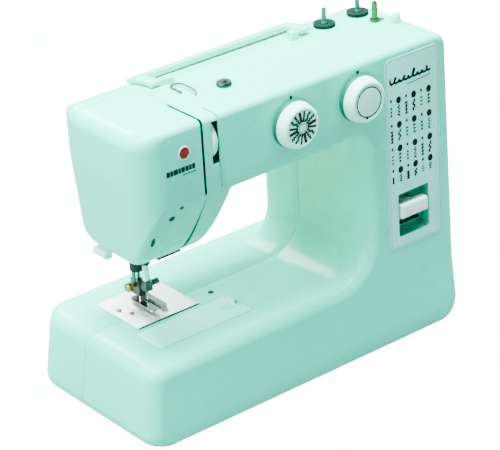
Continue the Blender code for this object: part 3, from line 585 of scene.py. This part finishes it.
# the winder's slot, and the groove in front of the needle plate
front_tools.append(tool((WINDER[0] - 0.0036, WINDER[1] - 0.0036, 0.270),
                        (WINDER[0] + WINDER_RUN + 0.0036, WINDER[1] + 0.0036, 0.290), 0.0035))
front_tools.append(tool((PLATE_LOW[0] - GAP, PLATE_LOW[1] - 0.0023, 0.066),
                        (PLATE_HIGH[0] + GAP, PLATE_LOW[1] + 0.001, ABOVE_BED)))
# the release button, the main shaft, the dials' stems and the spool pins
front_tools.append(round_tool((*BUTTON, 0.066), 0.0027, 0.010))
front_tools.append(round_tool((0.335, SHAFT_Y, SHAFT_Z), 0.0065, 0.015, "x"))
front_tools += [round_tool((x, -0.005, KNOB_Z), 0.0048, 0.012, "y") for x in KNOB_X]
front_tools += [round_tool((*pin, 0.270), 0.0034, 0.02) for pin in PINS]
boolean(front, front_tools)
boolean(front, [slab("tool", (low, HANDLE_Y - 0.004, 0.2797), (high, HANDLE_Y + 0.004, HANDLE_Z + 0.003),
                     MINT, 0.0025, "x", 0.0006) for low, high in BOSSES], "UNION")
boolean(front, [round_tool((low - 0.001, HANDLE_Y, HANDLE_Z), 0.0018, 0.011, "x") for low, high in BOSSES])
# the hole under the head, the power inlet and the power switch
boolean(rear, shared_tools() + [
    tool(*HEAD_HOLE),
    tool((0.3300, 0.1057, 0.0277), (0.3600, 0.1323, 0.0503), 0.0001, "x"),
    tool((0.3300, 0.1100, 0.0750), (0.3600, 0.1280, 0.0950), 0.001, "x")])
for piece, node in ((front, "front_cover"), (face, "face_cover"), (rear, "rear_cover")):
    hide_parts(node)
    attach(piece, "machine")


# ---- detailed pieces -----------------------------------------------------------------------------
def piece(obj, body, slot, *nodes):
    """Rides a body; the slot is not used. With nodes it stands for them."""
    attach(obj, body)
    if nodes:
        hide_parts(*nodes)
    return obj


def merged(name, parts, finish):
    """One object from several closed shapes, which may meet but need no cutting."""
    work = bmesh.new()
    for part in parts:
        work.from_mesh(part.data)
        bpy.data.objects.remove(part, do_unlink=True)
    mesh = bpy.data.meshes.new(name)
    work.to_mesh(mesh)
    work.free()
    return linked(name, smooth(mesh, MERGED_SHARP), finish)


def tint(obj, finish, chosen):
    """Gives another finish to the faces whose centres are chosen."""
    obj.data.materials.append(finish)
    for face in obj.data.polygons:
        if chosen(face.center - SHIFT):
            face.material_index = len(obj.data.materials) - 1


def flat(outline, low, high, axis="y"):
    """Thin flat sheet in the plane across an axis, from an outline: a print, and in openings a sheet of
    painted shade.
    """
    return add("print", bridged("print", [placed(outline, level, axis) for level in (low, high)]), INK)


def oval(u, v, ru, rv, sides=24):
    return [(u + ru * math.cos(2 * math.pi * i / sides), v + rv * math.sin(2 * math.pi * i / sides))
            for i in range(sides)]


def ribbon(points, width):
    """Outline of a line drawn with a pen of this width."""
    left, right = [], []
    for i, point in enumerate(points):
        ahead = Vector(points[min(i + 1, len(points) - 1)]) - Vector(points[max(i - 1, 0)])
        side = Vector((-ahead.y, ahead.x)).normalized() * width / 2
        left.append(tuple(Vector(point) + side))
        right.append(tuple(Vector(point) - side))
    return left + right[::-1]


def dial_body(name, x):
    """Moulded dial: skirt, conical grip with fine flutes, and a dished face."""
    depth = KNOB_DEPTH
    profile = soften([(-depth + 0.0004, 0.0005), (-depth + 0.0004, 0.0152), (-depth, 0.0158),
                      (-depth, 0.0170), (-depth + 0.0014, 0.0186), (-0.0046, 0.0208), (-0.0040, 0.0202),
                      (-0.0034, 0.0213), (-0.0006, 0.0215), (-0.0006, 0.0040), (0.0220, 0.0040)], 0.0005)

    def flutes(angle, along):
        if along < -depth + 0.0018 or along > -0.0050:
            return 0.0
        return 0.00022 * math.cos(DIAL_FLUTES * angle)

    body = turned(name + "_body", profile, PALE, (x, 0, KNOB_Z), "y", 180, flutes)
    # painted contact shadow: the rear of the skirt, where the dial meets the arm, is coloured dark green
    tint(body, DEEP_MINT_AND_SHADE, lambda p: p.y > -0.0048)
    piece(body, name, "white_plastic", name)


def dial_print(outline):
    """A print on a dial's face."""
    return flat(outline, DIAL_FACE - 0.00015, DIAL_FACE + 0.0002)


def make_dials():
    dial_body("stitch_dial", KNOB_X[0])
    dial_body("length_dial", KNOB_X[1])
    x = KNOB_X[0]
    dark, faint = [], []
    for i in range(16):
        angle = 2 * math.pi * (i + 0.5) / 16
        out = Vector((math.cos(angle), math.sin(angle)))
        across = Vector((-out.y, out.x))
        kind = i % 4
        spots = []
        for step in range(9):
            r = 0.0052 + 0.0096 * step / 8
            sway = (0.0, 0.0008 * (-1) ** step, 0.0007 * math.sin(step * 1.6), 0.0005 * (step % 2))[kind]
            spots.append(tuple(Vector((x, KNOB_Z)) + out * r + across * sway))
        width = (0.0027, 0.0021, 0.0022, 0.0018)[kind]
        (faint if kind == 2 else dark).append(dial_print(ribbon(spots, width)))
    faint.append(ring_print((x, KNOB_Z), 0.0036, 0.0040, DIAL_FACE))
    piece(merged("stitch_dial_marks", dark, INK), "stitch_dial", "dark_plastic")
    piece(merged("stitch_dial_faint_marks", faint, SOFT_INK_AND_SHADE), "stitch_dial", "dark_plastic")
    x = KNOB_X[1]
    profile = soften([(DIAL_FACE - 0.0003, 0.0004), (DIAL_FACE - 0.0003, 0.0124),
                      (DIAL_FACE + 0.0003, 0.0128), (DIAL_FACE + 0.0008, 0.0128)], 0.0003)
    disc = turned("length_dial_disc", profile, PALE, (x, 0, KNOB_Z), "y", 96)
    piece(disc, "length_dial", "mint_plastic")
    marks = [ring_print((x, KNOB_Z), 0.0129, 0.0139, DIAL_FACE)]
    for i in range(13):
        angle = math.radians(-130 + 20 * i)
        out = Vector((math.sin(angle), -math.cos(angle)))
        a, b = (Vector((x, KNOB_Z)) + out * r for r in (0.0141, 0.0149 if i % 3 else 0.0153))
        marks.append(dial_print(ribbon([tuple(a), tuple(b)], 0.0004)))
    pointer = oval(x - 0.0030, KNOB_Z - 0.0142, 0.0013, 0.0010)
    marks.append(flat(pointer, DIAL_FACE - 0.00018, DIAL_FACE + 0.0002))
    piece(merged("length_dial_marks", marks, INK), "length_dial", "dark_plastic")
    dots = [flat(oval(x + 0.0003, 0.2744, 0.0015, 0.0016), -0.0001, 0.0009) for x in KNOB_X]
    piece(merged("dial_index_dots", dots, INK), "machine", "dark_plastic")


def ring_print(centre, inner, outer, level, thick=0.00015):
    """Flat printed ring facing the front."""
    rings = []
    for radius, y in ((inner, level - thick), (outer, level - thick), (outer, level + thick),
                      (inner, level + thick)):
        rings.append([(centre[0] + radius * math.cos(2 * math.pi * i / 72), y,
                       centre[1] + radius * math.sin(2 * math.pi * i / 72)) for i in range(72)])
    return add("print", bridged("print", rings, True), INK)


def stitch_symbol(kind, x, top, low):
    """Outlines of one small stitch diagram between two heights."""
    count = 7
    levels = [top + (low - top) * i / (count - 1) for i in range(count)]
    if kind == 0:
        return [ribbon([(x, a), (x, a - 0.0022)], 0.0020) for a in levels[:-1:2]]
    if kind == 1:
        return [ribbon([(x + 0.0012 * (-1) ** i, z) for i, z in enumerate(levels)], 0.0016)]
    if kind == 2:
        bars = [ribbon([(x - 0.0016, z), (x + 0.0016, z)], 0.0015) for z in levels[::2]]
        return bars + [ribbon([(x, top), (x, low)], 0.0014)]
    if kind == 3:
        wave = [(x + 0.0012 * math.sin(math.pi * i / 4), top + (low - top) * i / 16) for i in range(17)]
        return [ribbon(wave, 0.0017)]
    pairs = list(zip(levels[:-1:2], levels[1::2]))
    if kind == 4:
        return [oval(x, (a + b) / 2, 0.0016, abs(a - b) / 2.1, 12) for a, b in pairs]
    return [ribbon([(x - 0.0013, a), (x + 0.0013, (a + b) / 2), (x - 0.0013, b)], 0.0015) for a, b in pairs]


TALL_LOOPS = ((0.06, 0.07, 1.0), (0.30, 0.03, 0.8), (0.55, 0.05, 1.0), (0.92, 0.03, 0.9))


def make_panel():
    level = (-0.00052, -0.0003)
    rows = (0.2345, 0.2112, 0.1884, 0.1676)
    strong, soft = [], []
    for column in range(6):
        x = 0.2771 + 0.00882 * column
        for row, z in enumerate(rows):
            target = strong if (column + row) % 2 else soft
            if column % 2:
                strong.append(flat(oval(x, z, 0.0029, 0.0033), *level))
            else:
                soft.append(flat(oval(x, z + 0.0010, 0.0012, 0.0016, 12), *level))
            bottom = z - (0.0150 if row < 3 else 0.0115)
            for outline in stitch_symbol((column + 2 * row) % 6, x, z - 0.0050, bottom):
                target.append(flat(outline, *level))
    piece(merged("panel_stitch_prints", strong, INK), "machine", "dark_plastic")
    piece(merged("panel_faint_prints", soft, SOFT_INK_AND_SHADE), "machine", "dark_plastic")
    curl = []                   # a loose line of loops, which spells nothing
    for i in range(240):
        t = i / 239
        turn = 2 * math.pi * 9.0 * t
        tall = 0.0019 + 0.0052 * max(height * math.exp(-((t - at) / spread) ** 2)
                                     for at, spread, height in TALL_LOOPS)
        lift = tall * (1 + math.cos(turn)) / 2
        curl.append((0.2760 + 0.0480 * t - 0.0016 * math.sin(turn) + 0.34 * lift, 0.2508 + lift + 0.0012 * t))
    flourish = [flat(ribbon(curl[i:i + 12], 0.0022), *level) for i in range(0, 231, 11)]
    flourish.append(flat(ribbon([(0.2960, 0.2462), (0.3240, 0.2478)], 0.0007), *level))
    piece(merged("panel_ornament", flourish, INK), "machine", "dark_plastic")
    frame_line = rounded_box(*grown(PANEL_LOW, PANEL_HIGH, -0.0016), 0.0045, 8)
    middle_x, middle_z = (PANEL_LOW[0] + PANEL_HIGH[0]) / 2, (PANEL_LOW[1] + PANEL_HIGH[1]) / 2
    strips = []
    for inset, y in ((0.0, -0.00045), (0.0003, -0.00045), (0.0003, -0.0003), (0.0, -0.0003)):
        strips.append([(p.x + (inset if p.x < middle_x else -inset), y,
                        p.y + (inset if p.y < middle_z else -inset)) for p in frame_line])
    piece(add("panel_border", bridged("panel_border", strips, True), SOFT_INK_AND_SHADE), "machine", "dark_plastic")
    body = slab("control_panel_plate", (PANEL_LOW[0], -0.0004, PANEL_LOW[1]),
                (PANEL_HIGH[0], 0.0011, PANEL_HIGH[1]), PANEL, 0.006, "y", 0.0003)
    boolean(body, [panel_tool(LEVER_LOW, LEVER_HIGH, -0.01, 0.01, 0.002)])
    piece(body, "machine", "panel_plastic", "control_panel")


def make_badges():
    centre = (0.0533, 0, 0.2611)
    profile = soften([(-0.0011, 0.0004), (-0.0011, 0.0030), (-0.0008, 0.0047), (-0.0002, 0.0052),
                      (0.0004, 0.0052)], 0.0004)
    piece(turned("badge_disc", profile, RED, centre, "y", 64), "machine", "dark_plastic")
    profile = soften([(-0.0005, 0.0052), (-0.0009, 0.0056), (-0.0005, 0.0061), (0.0004, 0.0061)], 0.0002)
    piece(turned("badge_rim", profile, PALE, centre, "y", 64), "machine", "mint_plastic")
    blocks = []
    x = 0.0342
    for width in (0.0034, 0.0028, 0.0042, 0.0024, 0.0036, 0.0030, 0.0026, 0.0030):
        block = [(x, 0.2446), (x + width, 0.2446), (x + width, 0.2492), (x, 0.2492)]
        blocks.append(flat(block, -0.00015, 0.0003))
        x += width + 0.0006
    blocks.append(flat(ribbon([(0.0500, 0.2422), (0.0640, 0.2422)], 0.0008), -0.00012, 0.0003))
    piece(merged("head_stripe", blocks, INK), "machine", "dark_plastic")


def make_lever():
    x, y, z = 0.3005, 0.0450, 0.1270
    cap = slab("reverse_lever_cap", (x - 0.0160, y - 0.0480, z - 0.0078),
               (x + 0.0145, y - 0.0385, z + 0.0056), WHITE, 0.0022, "x", 0.0010)
    arm = slab("tool", (x - 0.0045, 0.0050, 0.1242), (x + 0.0045, 0.0490, 0.1298), WHITE, 0.0025, "x", 0.0004)
    boolean(cap, [arm], "UNION")
    grooves = [slab("tool", (x - 0.0125, y - 0.0486, z - 0.0035 + 0.0022 * i),
                    (x + 0.0110, y - 0.0477, z - 0.0028 + 0.0022 * i), WHITE, 0.0003, "x") for i in range(3)]
    boolean(cap, grooves)
    piece(cap, "reverse_lever", "white_plastic", "reverse_lever")


def make_wheel():
    def ridges(angle, along):
        if 0.3528 < along < 0.3622:
            return -0.0007 * (0.5 + 0.5 * math.cos(48 * angle)) ** 3
        return 0.0

    profile = soften([(0.3492, 0.0260), (0.3506, 0.0289), (0.3524, 0.0298), (0.3532, 0.0300),
                      (0.3618, 0.0300), (0.3626, 0.0298), (0.3648, 0.0288), (0.3662, 0.0262),
                      (0.3662, 0.0180), (0.3640, 0.0168), (0.3640, 0.0060)], 0.0008)
    wheel = turned("handwheel_rim", profile, WHITE, (0, SHAFT_Y, SHAFT_Z), "x", 384, ridges)
    piece(wheel, "handwheel", "white_plastic", "handwheel")

    def grip(angle, along):
        return 0.00035 * math.cos(30 * angle) if 0.3645 < along < 0.3702 else 0.0

    profile = soften([(0.3643, 0.0020), (0.3643, 0.0146), (0.3700, 0.0146), (0.3712, 0.0138),
                      (0.3716, 0.0120), (0.3712, 0.0060), (0.3712, 0.0010)], 0.0005)
    cap = turned("clutch_cap", profile, WHITE, (0, SHAFT_Y, SHAFT_Z), "x", 240, grip)
    piece(cap, "handwheel", "white_plastic", "clutch_knob")


def gauge_line(x, start, end):
    """Fine line engraved in the needle plate."""
    return tool((x - 0.00018, start, PLATE_TOP - 0.00025), (x + 0.00018, end, ABOVE_BED), 0.0001)


def make_plate():
    plate = slab("needle_plate_body", (*PLATE_LOW, PLATE_TOP - PLATE_THICK), (*PLATE_HIGH, PLATE_TOP), PLATE,
                 0.0015, "z", 0.0003)
    cuts = [tool((x - 0.0019, 0.0915, 0.06), (x + 0.0019, 0.1175, ABOVE_BED), 0.0009)
            for x in (BAR_X - 0.005, BAR_X + 0.005)]
    cuts.append(tool((BAR_X - 0.0025, NEEDLE_Y - 0.0009, 0.06),
                     (BAR_X + 0.0025, NEEDLE_Y + 0.0009, ABOVE_BED), 0.0008))
    cuts += [gauge_line(BAR_X + 0.0100 + 0.0050 * i, 0.0780 + 0.002 * (i % 2), 0.1040) for i in range(5)]
    cuts += [gauge_line(BAR_X - 0.0100 - 0.0050 * i, 0.0780, 0.0960) for i in range(3)]
    cuts.append(tool((0.0470, 0.0790, PLATE_TOP - 0.0004), (0.0510, 0.0870, ABOVE_BED), 0.0018))
    boolean(plate, cuts)
    tint(plate, SHADOW, lambda p: p.y < PLATE_LOW[1] + 0.0002)
    piece(plate, "machine", "steel", "needle_plate")
    heads = []
    profile = soften([(0, 0.0024), (0.0005, 0.0024), (0.0009, 0.0018), (0.0009, 0.0003)], 0.0002)
    for x, y in ((0.0557, 0.1005), (0.0508, 0.1130)):
        head = turned("tool", profile, STEEL, (x, y, PLATE_TOP + GAP), "z", 32)
        boolean(head, [tool((x - 0.0026, y - 0.0003, PLATE_TOP + GAP + 0.0004),
                            (x + 0.0026, y + 0.0003, ABOVE_BED))])
        heads.append(head)
    piece(merged("plate_screw_heads", heads, BRONZE), "machine", "steel", "plate_screw_1", "plate_screw_2")


def make_cover():
    cover = slab("bobbin_cover_plate", (*COVER_LOW, SEAT_Z + GAP), (*COVER_HIGH, PLATE_TOP), COVER, 0.003,
                 "z", 0.0003)
    cuts = [round_tool((COVER_HIGH[0], 0.0500, 0.0660), 0.0050, 0.010)]
    cuts += [tool((0.1180 + 0.0024 * i, 0.0440, PLATE_TOP - 0.0003),
                  (0.1190 + 0.0024 * i, 0.0560, ABOVE_BED), 0.0004) for i in range(5)]
    boolean(cover, cuts)
    # painted shade: the faces below the cover's top, in its notch and grooves, are darker green
    tint(cover, RECESS_SHADE, lambda p: p.z < PLATE_TOP - 0.0002)
    piece(cover, "bobbin_cover", "white_plastic", "bobbin_cover")


def handle_ring(low_x, high_x, y, radius, trim=0.0):
    """Cross-section of the handle, which follows the top's fall to the rear."""
    drop = quarter(TOP_CURVE, ARM_DEPTH - y)
    low, high = HANDLE_Z - 0.0025 - drop + trim, HANDLE_Z + 0.0025 - drop - trim
    return placed(rounded_box((low_x + trim, low), (high_x - trim, high), radius, 5), y, "y")


def handle_bar(low_x, high_x, near, far):
    rings = [handle_ring(low_x, high_x, near, 0.0010, 0.0008),
             handle_ring(low_x, high_x, near + 0.0003, 0.0014, 0.0002),
             handle_ring(low_x, high_x, near + 0.0009, 0.0016)]
    rings += [handle_ring(low_x, high_x, near + 0.0009 + (far - near - 0.0018) * i / 4, 0.0016)
              for i in range(1, 5)]
    rings += [handle_ring(low_x, high_x, far - 0.0003, 0.0014, 0.0002),
              handle_ring(low_x, high_x, far, 0.0010, 0.0008)]
    return add("carry_handle_bar", bridged("carry_handle_bar", rings), MINT)


def make_handle():
    handle = handle_bar(0.0835, 0.2585, 0.1040, 0.1190)
    extra = []
    profile = soften([(0, 0.0010), (0, 0.0025), (0.0110, 0.0025), (0.0110, 0.0010)], 0.0004)
    for x in (0.0835, 0.2475):
        extra.append(handle_bar(x, x + 0.0110, HANDLE_Y, 0.1060))
        extra.append(turned("tool", profile, MINT, (x, HANDLE_Y, HANDLE_Z), "x", 40))
    for x in (0.0930, 0.2365):
        extra.append(turned("tool", [(0, 0.0014), (0.0120, 0.0014)], MINT, (x, HANDLE_Y, HANDLE_Z), "x", 32))
    boolean(handle, extra, "UNION")
    piece(handle, "carry_handle", "mint_plastic", "carry_handle")


def make_small_marks():
    """Dark green ovals on the head's lower front, whose face leans back: painted shade standing in for screw
    sinks and moulding marks.
    """
    sink_shades = []
    for x, z, ru, rv in ((0.0388, 0.2052, 0.0032, 0.0024), (0.0479, 0.2128, 0.0023, 0.0015),
                         (0.0227, 0.1864, 0.0021, 0.0050)):
        y = head_front(z)
        steep = HEAD_BULGE * max(1 - y / HEAD_RUN, 0.05) ** (HEAD_BULGE - 1)
        slope = math.atan2(HEAD_RISE * steep, HEAD_RUN)
        normal = Vector((0, -math.sin(slope), -math.cos(slope)))
        along = Vector((0, -math.cos(slope), math.sin(slope)))
        rings = []
        for lift, size in ((-0.0006, 1.0), (0.00012, 1.0), (0.00018, 0.8)):
            centre = Vector((x, y, z)) + normal * lift
            rings.append([centre + Vector((u, 0, 0)) + along * v
                          for u, v in oval(0, 0, ru * size, rv * size)])
        sink_shades.append(add("print", bridged("print", rings), SOFT_INK_AND_SHADE))
    piece(merged("head_screw_sink_shades", sink_shades, SOFT_INK_AND_SHADE), "machine", "dark_plastic")


def make_shade_liners():
    """Painted shade: dark plates beside the take-up lever's slot, in the slanted seam, and behind the narrow
    openings.
    """
    # black plates of painted shade: beside the take-up slot, behind the slot under the lever and in the
    # groove in front of the needle plate
    plates = [slab("tool", (x, 0.0052, 0.2160), (x + 0.0012, 0.0500, 0.2775), BLACK_AND_SHADE, 0.0060, "x")
              for x in (0.0692, 0.0756)]
    plates.append(slab("tool", (0.2830, 0.0140, 0.1040), (0.3180, 0.0150, 0.1125), BLACK_AND_SHADE))
    plates.append(slab("tool", (PLATE_LOW[0], PLATE_LOW[1] - 0.0022, 0.0700),
                       (PLATE_HIGH[0], PLATE_LOW[1] - 0.0004, 0.0711), BLACK_AND_SHADE))
    piece(merged("slot_shade_plates", plates, BLACK_AND_SHADE), "machine", "dark_plastic")
    # a flat sheet of painted shadow inside the take-up lever's slot, following the head's top
    skin = [(0.0462, 0.2165), (0.0008, 0.2165)]
    for i in range(12):
        depth = 0.0008 + 0.0454 * (i / 11) ** 3
        skin.append((depth, 0.2829 - 0.005 * (1 - math.sqrt(1 - max(1 - depth / 0.005, 0.0) ** 2))))
    piece(merged("thread_slot_shadow", [flat(skin, 0.0741, 0.07428, "x")], SHADOW), "machine", "mint_plastic")
    # a dark strip of painted shadow just behind the face, in the slanted seam between the face cover and the
    # front cover
    rings = []
    for i in range(24):
        z = 0.1585 + (0.2140 - 0.1585) * i / 23
        drop = (FACE_BEND - z) / (FACE_BEND - SEAM_FOOT)
        left = FACE_X - 0.0001 - FACE_LEAN * drop
        right = FACE_X + 0.0001 - FRONT_LEAN * drop
        y = head_front(z) + 0.0011
        rings.append([(left, y, z), (right, y, z), (right, y + 0.0025, z), (left, y + 0.0025, z)])
    piece(add("seam_shadow", bridged("seam_shadow", rings), SHADOW), "machine", "mint_plastic")


def cross_screw(x, y, z, radius):
    """Countersunk screw in a rear face, with a cross recess."""
    profile = [(-0.0010, radius * 1.35), (-0.0002, radius * 1.35), (-0.0002, radius * 1.1),
               (-0.0008, radius), (-0.0008, 0.0002)]
    sink_shade = turned("tool", profile, BLACK_AND_SHADE, (x, y, z), "y", 32)
    profile = [(-0.0012, radius), (-0.0005, radius), (-0.0003, radius * 0.7), (-0.0003, 0.0002)]
    head = turned("tool", profile, STEEL, (x, y, z), "y", 32)
    boolean(head, [tool((x - u, y - 0.0007, z - v), (x + u, y + 0.001, z + v))
                   for u, v in ((radius, 0.0003), (0.0003, radius))])
    return sink_shade, head


def make_rear_details():
    sink_shades, heads = [], []
    for x, y, z in ((0.1180, ARM_DEPTH, 0.2330), (0.0400, ARM_DEPTH, 0.1850), (0.2560, ARM_DEPTH, 0.2330),
                    (0.3220, ARM_DEPTH, 0.2250), (0.3220, ARM_DEPTH, 0.1050), (0.0500, BED_DEPTH, 0.0330),
                    (0.1700, BED_DEPTH, 0.0330), (0.3000, BED_DEPTH, 0.0330)):
        sink_shade, head = cross_screw(x, y, z, 0.0028)
        sink_shades.append(sink_shade)
        heads.append(head)
    # the countersinks are coloured dark green, as painted shade in their hollows
    piece(merged("rear_screw_sink_shades", sink_shades, DEEP_MINT_AND_SHADE), "machine", "mint_plastic")
    piece(merged("rear_screw_heads", heads, STEEL), "machine", "steel")
    # the vents are flat black sheets on the rear face: painted shade stands in for their openings
    vent_shadows = [flat(rounded_box((0.2720, 0.0850 + 0.0055 * i), (0.3120, 0.0874 + 0.0055 * i), 0.0010, 4),
                  ARM_DEPTH - 0.0004, ARM_DEPTH + 0.0001) for i in range(6)]
    piece(merged("rear_vent_shadows", vent_shadows, BLACK_AND_SHADE), "machine", "dark_plastic")
    label = slab("rating_plate", (0.2700, ARM_DEPTH - 0.0002, 0.1500), (0.3140, ARM_DEPTH + 0.0003, 0.1780),
                 STEEL, 0.0020, "y", 0.0001)
    piece(label, "machine", "steel")
    lines = []
    for i in range(5):
        z = 0.1730 - 0.0044 * i
        end = 0.2990 + 0.0050 * (i % 3)
        lines.append(flat(ribbon([(0.2740, z), (end, z)], 0.0012), ARM_DEPTH + 0.0002, ARM_DEPTH + 0.0004))
    piece(merged("rating_plate_lines", lines, INK), "machine", "dark_plastic")


def make_side_details():
    profile = soften([(0.3366, 0.0013), (0.3440, 0.0013), (0.3450, 0.0008)], 0.0003)
    pins = [turned("tool", profile, BRONZE, (0, y, 0.0390), "x", 20) for y in (0.1145, 0.1235)]
    piece(merged("inlet_pins", pins, BRONZE), "machine", "brass")


make_dials()
make_panel()
make_badges()
make_lever()
make_wheel()
make_plate()
make_cover()
make_handle()
make_small_marks()
make_shade_liners()
make_rear_details()
make_side_details()

# painted shade on the walls and the floor of the lever's recess
tint(front, RECESS_SHADE, lambda p: 0.2815 < p.x < 0.3195 and 0.0016 < p.y < 0.0120 and 0.1005 < p.z < 0.1445)


# ---- carried-over CAD nodes ----------------------------------------------------------------------
FINISH = {
    BLACK_AND_SHADE: ("base_plate", "head_thread_guide", "power_socket", "shaft_pulley", "winder_slide", "cover_button",
            "power_switch", "bobbin_case"),
    RUBBER: ("foot_front_left", "foot_front_right", "foot_rear_left", "foot_rear_right", "drive_belt",
             "timing_belt"),
    STEEL: ("main_shaft", "motor_pulley", "lower_shaft", "hook", "presser_spring"),
    OLIVE: ("winder_spindle",),
    DARK_STEEL: ("thread_guide_wire", "pretension_disc", "needle_clamp", "foot_holder", "feed_dog"),
    CHROME: ("needle_bar", "needle", "take_up_lever", "presser_bar", "presser_foot"),
    BRONZE: ("bush_left", "bush_right", "foot_screw"),
    CAST: ("frame", "motor"),
    BULB: ("lamp_bulb",),
    FELT: ("spool_felt_left", "spool_felt_right"),
    MINT: ("winder_stop",),
    DEEP_MINT_AND_SHADE: ("spool_pin_left", "spool_pin_right"),
    PALE: ("tension_wheel", "presser_lifter", "thread_cutter"),
    WHITE: ("bobbin", "lamp_holder"),
}
for finish, nodes in FINISH.items():
    for node in nodes:
        for held in bpy.data.objects[node].material_slots:
            held.material = finish

# the dark sleeves on the two bars
tint(bpy.data.objects["presser_bar"], BLACK_AND_SHADE, lambda p: 0.1015 < p.z < 0.1262)
tint(bpy.data.objects["needle_bar"], BLACK_AND_SHADE, lambda p: 0.1115 < p.z < 0.1230)


# ---- floor, light and camera ---------------------------------------------------------------------
PAPER_GLOW = 14.0
VIEW_TURN = 37                  # degrees from the front to the camera


def backdrop():
    """Floor that bends up behind the machine, square to the camera, and looks white to it alone."""
    reach, back, height, bend = 2.6, 1.5, 2.2, 0.6
    profile = [(-reach, 0.0), (back, 0.0)]
    profile += [(back + bend * math.sin(math.pi / 2 * i / 12), bend * (1 - math.cos(math.pi / 2 * i / 12)))
                for i in range(1, 13)]
    profile.append((back + bend, height))
    mesh = bpy.data.meshes.new("floor")
    points = [(x, y, z - 0.0002) for y, z in profile for x in (-reach, reach)]
    faces = [(2 * i, 2 * i + 1, 2 * i + 3, 2 * i + 2) for i in range(len(profile) - 1)]
    mesh.from_pydata(points, [], faces)
    mesh.shade_smooth()
    obj = bpy.data.objects.new("floor", mesh)
    paper = Nodes("paper", (0.22, 0.24, 0.23), 0.9)
    paper.put("Specular IOR Level", 0.0)
    paper.colour(paper.ramp(paper.noise(6.0), (0.21, 0.23, 0.22), (0.23, 0.25, 0.24)))
    seen = paper.tree.nodes.new("ShaderNodeLightPath").outputs["Is Camera Ray"]
    glow = paper.tree.nodes.new("ShaderNodeMath")
    glow.operation = "MULTIPLY"
    glow.inputs[1].default_value = PAPER_GLOW
    paper.link(seen, glow.inputs[0])
    paper.link(glow.outputs["Value"], paper.shader.inputs["Emission Strength"])
    paper.put("Emission Color", (1, 1, 1, 1))
    mesh.materials.append(paper.made)
    bpy.context.scene.collection.objects.link(obj)
    obj.rotation_euler.z = -math.radians(VIEW_TURN)


LIGHT_TINT = (0.68, 1.0, 0.95)


def lamp(name, at, aim, size, watts):
    light = bpy.data.lights.new(name, "AREA")
    light.shape = "RECTANGLE"
    light.size, light.size_y = size
    light.energy = watts
    light.color = LIGHT_TINT
    obj = bpy.data.objects.new(name, light)
    obj.location = at
    obj.rotation_euler = (Vector(aim) - Vector(at)).to_track_quat("-Z", "Y").to_euler()
    bpy.context.scene.collection.objects.link(obj)


def world(strength):
    sky = bpy.data.worlds.new("studio")
    sky.use_nodes = True
    sky.node_tree.nodes["Background"].inputs["Color"].default_value = (1, 1, 1, 1)
    sky.node_tree.nodes["Background"].inputs["Strength"].default_value = strength
    bpy.context.scene.world = sky


def camera():
    """Long lens from the left front, above the head, with its axes and place in the machine's frame."""
    lens = bpy.data.cameras.new("camera")
    lens.lens = 170.95
    lens.sensor_width = 36.0
    lens.clip_start = 0.05
    obj = bpy.data.objects.new("camera", lens)
    right = Vector((0.7780, -0.6256, -0.0574)).normalized()
    forward = Vector((0.5409, 0.7135, -0.4453)).normalized()
    up = right.cross(forward).normalized()
    turn = Matrix((right, up, -forward)).transposed().to_4x4()
    obj.matrix_world = Matrix.Translation(Vector((-0.96615, -1.42711, 1.06408)) + SHIFT) @ turn
    bpy.context.scene.collection.objects.link(obj)
    bpy.context.scene.camera = obj


backdrop()
world(0.14)
lamp("key", (-1.6, 0.0, 1.1), (0, 0, 0.15), (1.4, 1.4), 92)
lamp("fill", (0.4, -2.2, 0.9), (0, 0, 0.12), (1.6, 1.2), 3)
lamp("top", (0.0, 0.0, 2.2), (0, 0, 0.1), (1.8, 1.0), 440)
lamp("back", (0.2, 1.5, 1.35), (0, 0, 0.1), (0.9, 0.8), 110)
camera()
